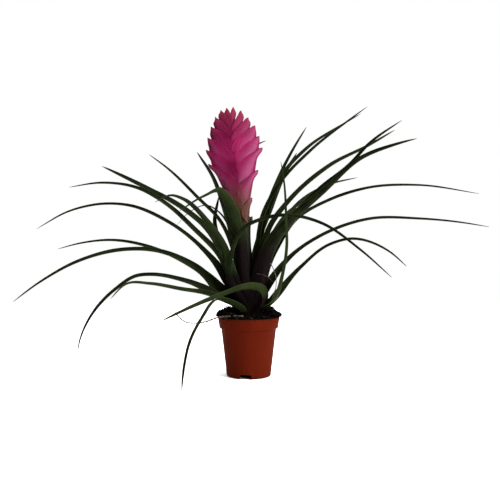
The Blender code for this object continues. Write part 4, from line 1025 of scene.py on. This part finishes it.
class BROMELIAD_OT_spike(bpy.types.Operator):
    """Add the flat flower spike: two ranks of folded bracts, each over the one above it"""

    bl_idname = "bromeliad.spike"
    bl_label = "Flower Spike"

    def execute(self, context):
        sizes = context.scene.bromeliad_spike
        skin = bract_skin()
        tips = []
        for side, word, places in ((1.0, "right", RIGHT_BRACT_TIPS), (-1.0, "left", LEFT_BRACT_TIPS)):
            tips += [(share, side, f"bract_{word}_{i + 1:02d}") for i, (share, _) in enumerate(places[:-1])]
            tips.append((places[-1][0], side, f"spike_bud_{word}"))
        tips.sort(reverse=True)
        for rank, (share, side, name) in enumerate(tips):
            shell = self.bract(name, rank, side, share, sizes)
            shell.data.materials.append(skin)
            apply_modifier(shell, "SOLIDIFY", thickness=sizes.bract_thickness, offset=-1.0)
            finish_piece(shell, "bract", "spike_bud" if "bud" in name else name, angle=50.0)
        return {"FINISHED"}

    def bract(self, name, rank, side, tip_share, sizes):
        """A boat-shaped bract folded along its keel; across is -1 at the back edge, 1 at the front."""
        rows, columns = 40, 26
        length = sizes.length / MM
        tip_along = tip_share * length
        reach = min(sizes.bract_length / MM, 0.6 * tip_along + 17.0)
        tip_x = max(spike_outline(side, tip_share, sizes), 3.4)
        base_along = tip_along - reach
        shares = BUD_MARGIN if "bud" in name else RIGHT_MARGIN if side > 0.0 else LEFT_MARGIN
        margin = smooth_route([(x * tip_x, tip_along - 0.9 * z * reach, 0.0) for x, z in reversed(shares)], 12)
        spread = [1.0 - (1.0 - row / rows)**1.4 for row in range(rows + 1)]
        edge = at_distances(margin, [route_length(margin) * t for t in spread])
        lift = 0.22 * rank
        crease = random.Random(rank * 7 + 1)
        wave = crease.uniform(0.0, 6.0)

        def surface(across, row):
            t = spread[row]
            spine = self.keel(base_along + t * reach, tip_along, tip_x, reach, side, sizes)
            margin_point = Vector((edge[row].x, edge[row].y))
            place = spine.lerp(margin_point, abs(across))
            far = (place - spine).length
            rise = 0.19 * far + 0.6 * (1.0 - math.exp(-far / 1.5))
            belly = 0.035 * far * math.sin(math.pi * abs(across))
            ripple = 0.16 * math.sin(9.0 * abs(across) + wave + 2.0 * t) * ease(abs(across) * 2.0) * (1.0 - t)
            tucked = 0.35 + 0.65 * ease((1.0 - t) * 3.0)
            depth = (rise + belly + ripple) * tucked + lift * ease(abs(across) * 3.0) * ease((1.0 - t) * 4.0)
            line = midline(place.y)
            front = -1.0 if across > 0.0 else 1.0
            return crown_point((line.x + side * place.x, line.y + front * depth, line.z))

        made = shaped_grid(f"{name}_shell", columns, rows, surface)
        make_active(made)
        bpy.ops.object.mode_set(mode="EDIT")
        bpy.ops.mesh.select_all(action="SELECT")
        bpy.ops.mesh.remove_doubles(threshold=0.02 * MM)
        if side < 0.0:
            bpy.ops.mesh.flip_normals()
        bpy.ops.object.mode_set(mode="OBJECT")
        count = len(made.data.vertices)
        # The tone differs at random, and the bracts on the right get a higher tone, which the skin turns into
        # painted light from the right.
        add_attribute(made, "tone", [(0.55 if side > 0.0 else 0.0) + 0.45 * crease.random()] * count)
        add_attribute(made, "height", [(v.co.z - CROWN_Z - SPIKE_BASE[2] * MM) / sizes.length
                                       for v in made.data.vertices])
        return made

    def keel(self, along, tip_along, tip_x, reach, side, sizes):
        """The outer edge: just inside the spike's outline below the tip, then in to the axis."""
        below = tip_along - along
        width = spike_outline(side, along * MM / sizes.length, sizes)
        outline = min(max(width, tip_x * (1.0 - below / reach)), tip_x + 3.8)
        bulged = tip_x + (outline - tip_x) * ease(below / 9.0)
        outer = bulged - 0.125 * width * ease((below - 1.5) / 13.0)
        return Vector((3.2 + (outer - 3.2) * (1.0 - ease(below / reach * 3.3 - 2.3)), along))


class BROMELIAD_OT_strands(bpy.types.Operator):
    """Add the dead strands that hang among the leaves and over the rim"""

    bl_idname = "bromeliad.strands"
    bl_label = "Dry Strands"

    def execute(self, context):
        skin = fibrous_skin("withered_leaf", "#1E1614", "#55473D", 0.85)
        for name, (radius, points) in DRY_STRANDS.items():
            route = smooth_route([crown_point(p) for p in points], 12)
            last = len(route) - 1
            radii = [radius * MM * (1.0 - 0.35 * i / last) * (1.0 + 0.25 * math.sin(i * 1.7))
                     for i in range(len(route))]
            strand = tube_piece(f"{name}_skin", route, radii, 8)
            strand.data.materials.append(skin)
            nodes = [name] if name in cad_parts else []
            finish_piece(strand, "dry_leaf", *nodes, angle=60.0)
        return {"FINISHED"}


# ---------------------------------------------------------------------------- stage
def pale_floor():
    """A white table top that fades into the white surround well behind the pot."""
    made, tree = new_material("pale_floor")
    place = add_node(tree, "ShaderNodeTexCoord").outputs["Object"]
    far = add_node(tree, "ShaderNodeVectorMath", {0: place}, operation="LENGTH")
    fade = add_node(tree, "ShaderNodeMapRange", {"Value": far.outputs["Value"], 1: 0.3, 2: 1.1, 3: 0.0, 4: 1.0},
                    interpolation_type="SMOOTHSTEP")
    grain = add_node(tree, "ShaderNodeTexNoise", {"Vector": place, "Scale": 400.0})
    white = add_node(tree, "ShaderNodeMix", {0: grain.outputs[0], 6: linear("#F4F4F3"), 7: linear("#FAFAFA")},
                     data_type="RGBA")
    matt = add_node(tree, "ShaderNodeBsdfDiffuse", {"Color": white.outputs[2]})
    gone = add_node(tree, "ShaderNodeBsdfTransparent")
    surface = add_node(tree, "ShaderNodeMixShader",
                       {0: fade.outputs[0], 1: matt.outputs[0], 2: gone.outputs[0]})
    end_material(tree, surface)
    return made


def area_light(name, place, target, size, power):
    """A square soft light that faces its target."""
    deselect_all()
    bpy.ops.object.light_add(type="AREA", location=place)
    lamp = take_added(name)
    lamp.data.size = size
    lamp.data.energy = power
    lamp.rotation_euler = (Vector(target) - Vector(place)).to_track_quat("-Z", "Y").to_euler()


class BROMELIAD_OT_stage(bpy.types.Operator):
    """Add the pale floor, the soft lights, the white surround and the camera"""

    bl_idname = "bromeliad.stage"
    bl_label = "Stage"

    def execute(self, context):
        sizes = context.scene.bromeliad_stage
        deselect_all()
        bpy.ops.mesh.primitive_circle_add(vertices=64, radius=1.2, fill_type="NGON", location=(0, 0, 0))
        floor = take_added("floor")
        floor.data.materials.append(pale_floor())
        area_light("top_light", (0.1, 0.1, 1.6), (0.0, 0.0, 0.1), 1.8, sizes.top)
        area_light("key_light", (1.4, -0.9, 0.8), (0.0, 0.0, 0.15), 1.3, sizes.key)
        world = bpy.data.worlds.new("white_surround")
        context.scene.world = world
        world.use_nodes = True
        tree = world.node_tree
        tree.nodes.clear()
        sight = add_node(tree, "ShaderNodeLightPath")
        shown = add_node(tree, "ShaderNodeBackground", {"Color": (1.0, 1.0, 1.0, 1.0), "Strength": 1.0})
        cast = add_node(tree, "ShaderNodeBackground", {"Color": (1.0, 1.0, 1.0, 1.0), "Strength": 0.08})
        mixed = add_node(tree, "ShaderNodeMixShader", {0: sight.outputs["Is Camera Ray"], 1: cast.outputs[0],
                                                       2: shown.outputs[0]})
        add_node(tree, "ShaderNodeOutputWorld", {"Surface": mixed.outputs[0]})
        deselect_all()
        bpy.ops.object.camera_add(location=(1.4 * MM, -sizes.camera_distance, sizes.camera_height),
                                  rotation=(math.pi / 2 - sizes.camera_pitch, 0.0, 0.0))
        camera = take_added("camera")
        camera.data.lens = sizes.lens
        camera.data.sensor_width = 36.0
        camera.data.clip_start = 0.01
        context.scene.camera = camera
        context.scene.view_settings.view_transform = "Standard"
        return {"FINISHED"}


# --------------------------------------------------------------------- add-on parts
class BROMELIAD_PT_panel(bpy.types.Panel):
    """Lists the steps that build the plant, with their sizes"""

    bl_idname = "BROMELIAD_PT_panel"
    bl_label = "Potted Bromeliad"
    bl_space_type = "VIEW_3D"
    bl_region_type = "UI"
    bl_category = "Bromeliad"

    def draw(self, context):
        layout = self.layout
        for operator in OPERATORS:
            layout.operator(operator.bl_idname)
        for name, group in SETTINGS.items():
            box = layout.box()
            box.label(text=group.__doc__)
            for setting in group.__annotations__:
                box.prop(getattr(context.scene, name), setting)


OPERATORS = (BROMELIAD_OT_stage, BROMELIAD_OT_pot, BROMELIAD_OT_soil, BROMELIAD_OT_stalk,
             BROMELIAD_OT_leaves, BROMELIAD_OT_spike, BROMELIAD_OT_strands)
CLASSES = (*SETTINGS.values(), *OPERATORS, BROMELIAD_PT_panel)


def register():
    for item in CLASSES:
        bpy.utils.register_class(item)
    for name, group in SETTINGS.items():
        setattr(bpy.types.Scene, name, PointerProperty(type=group))


def unregister():
    for name in SETTINGS:
        delattr(bpy.types.Scene, name)
    for item in reversed(CLASSES):
        bpy.utils.unregister_class(item)


def main():
    register()
    bpy.ops.bromeliad.stage()
    bpy.ops.bromeliad.pot()
    bpy.ops.bromeliad.soil()
    bpy.ops.bromeliad.stalk()
    bpy.ops.bromeliad.leaves()
    bpy.ops.bromeliad.spike()
    bpy.ops.bromeliad.strands()
    deselect_all()


if __name__ == "__main__":
    main()
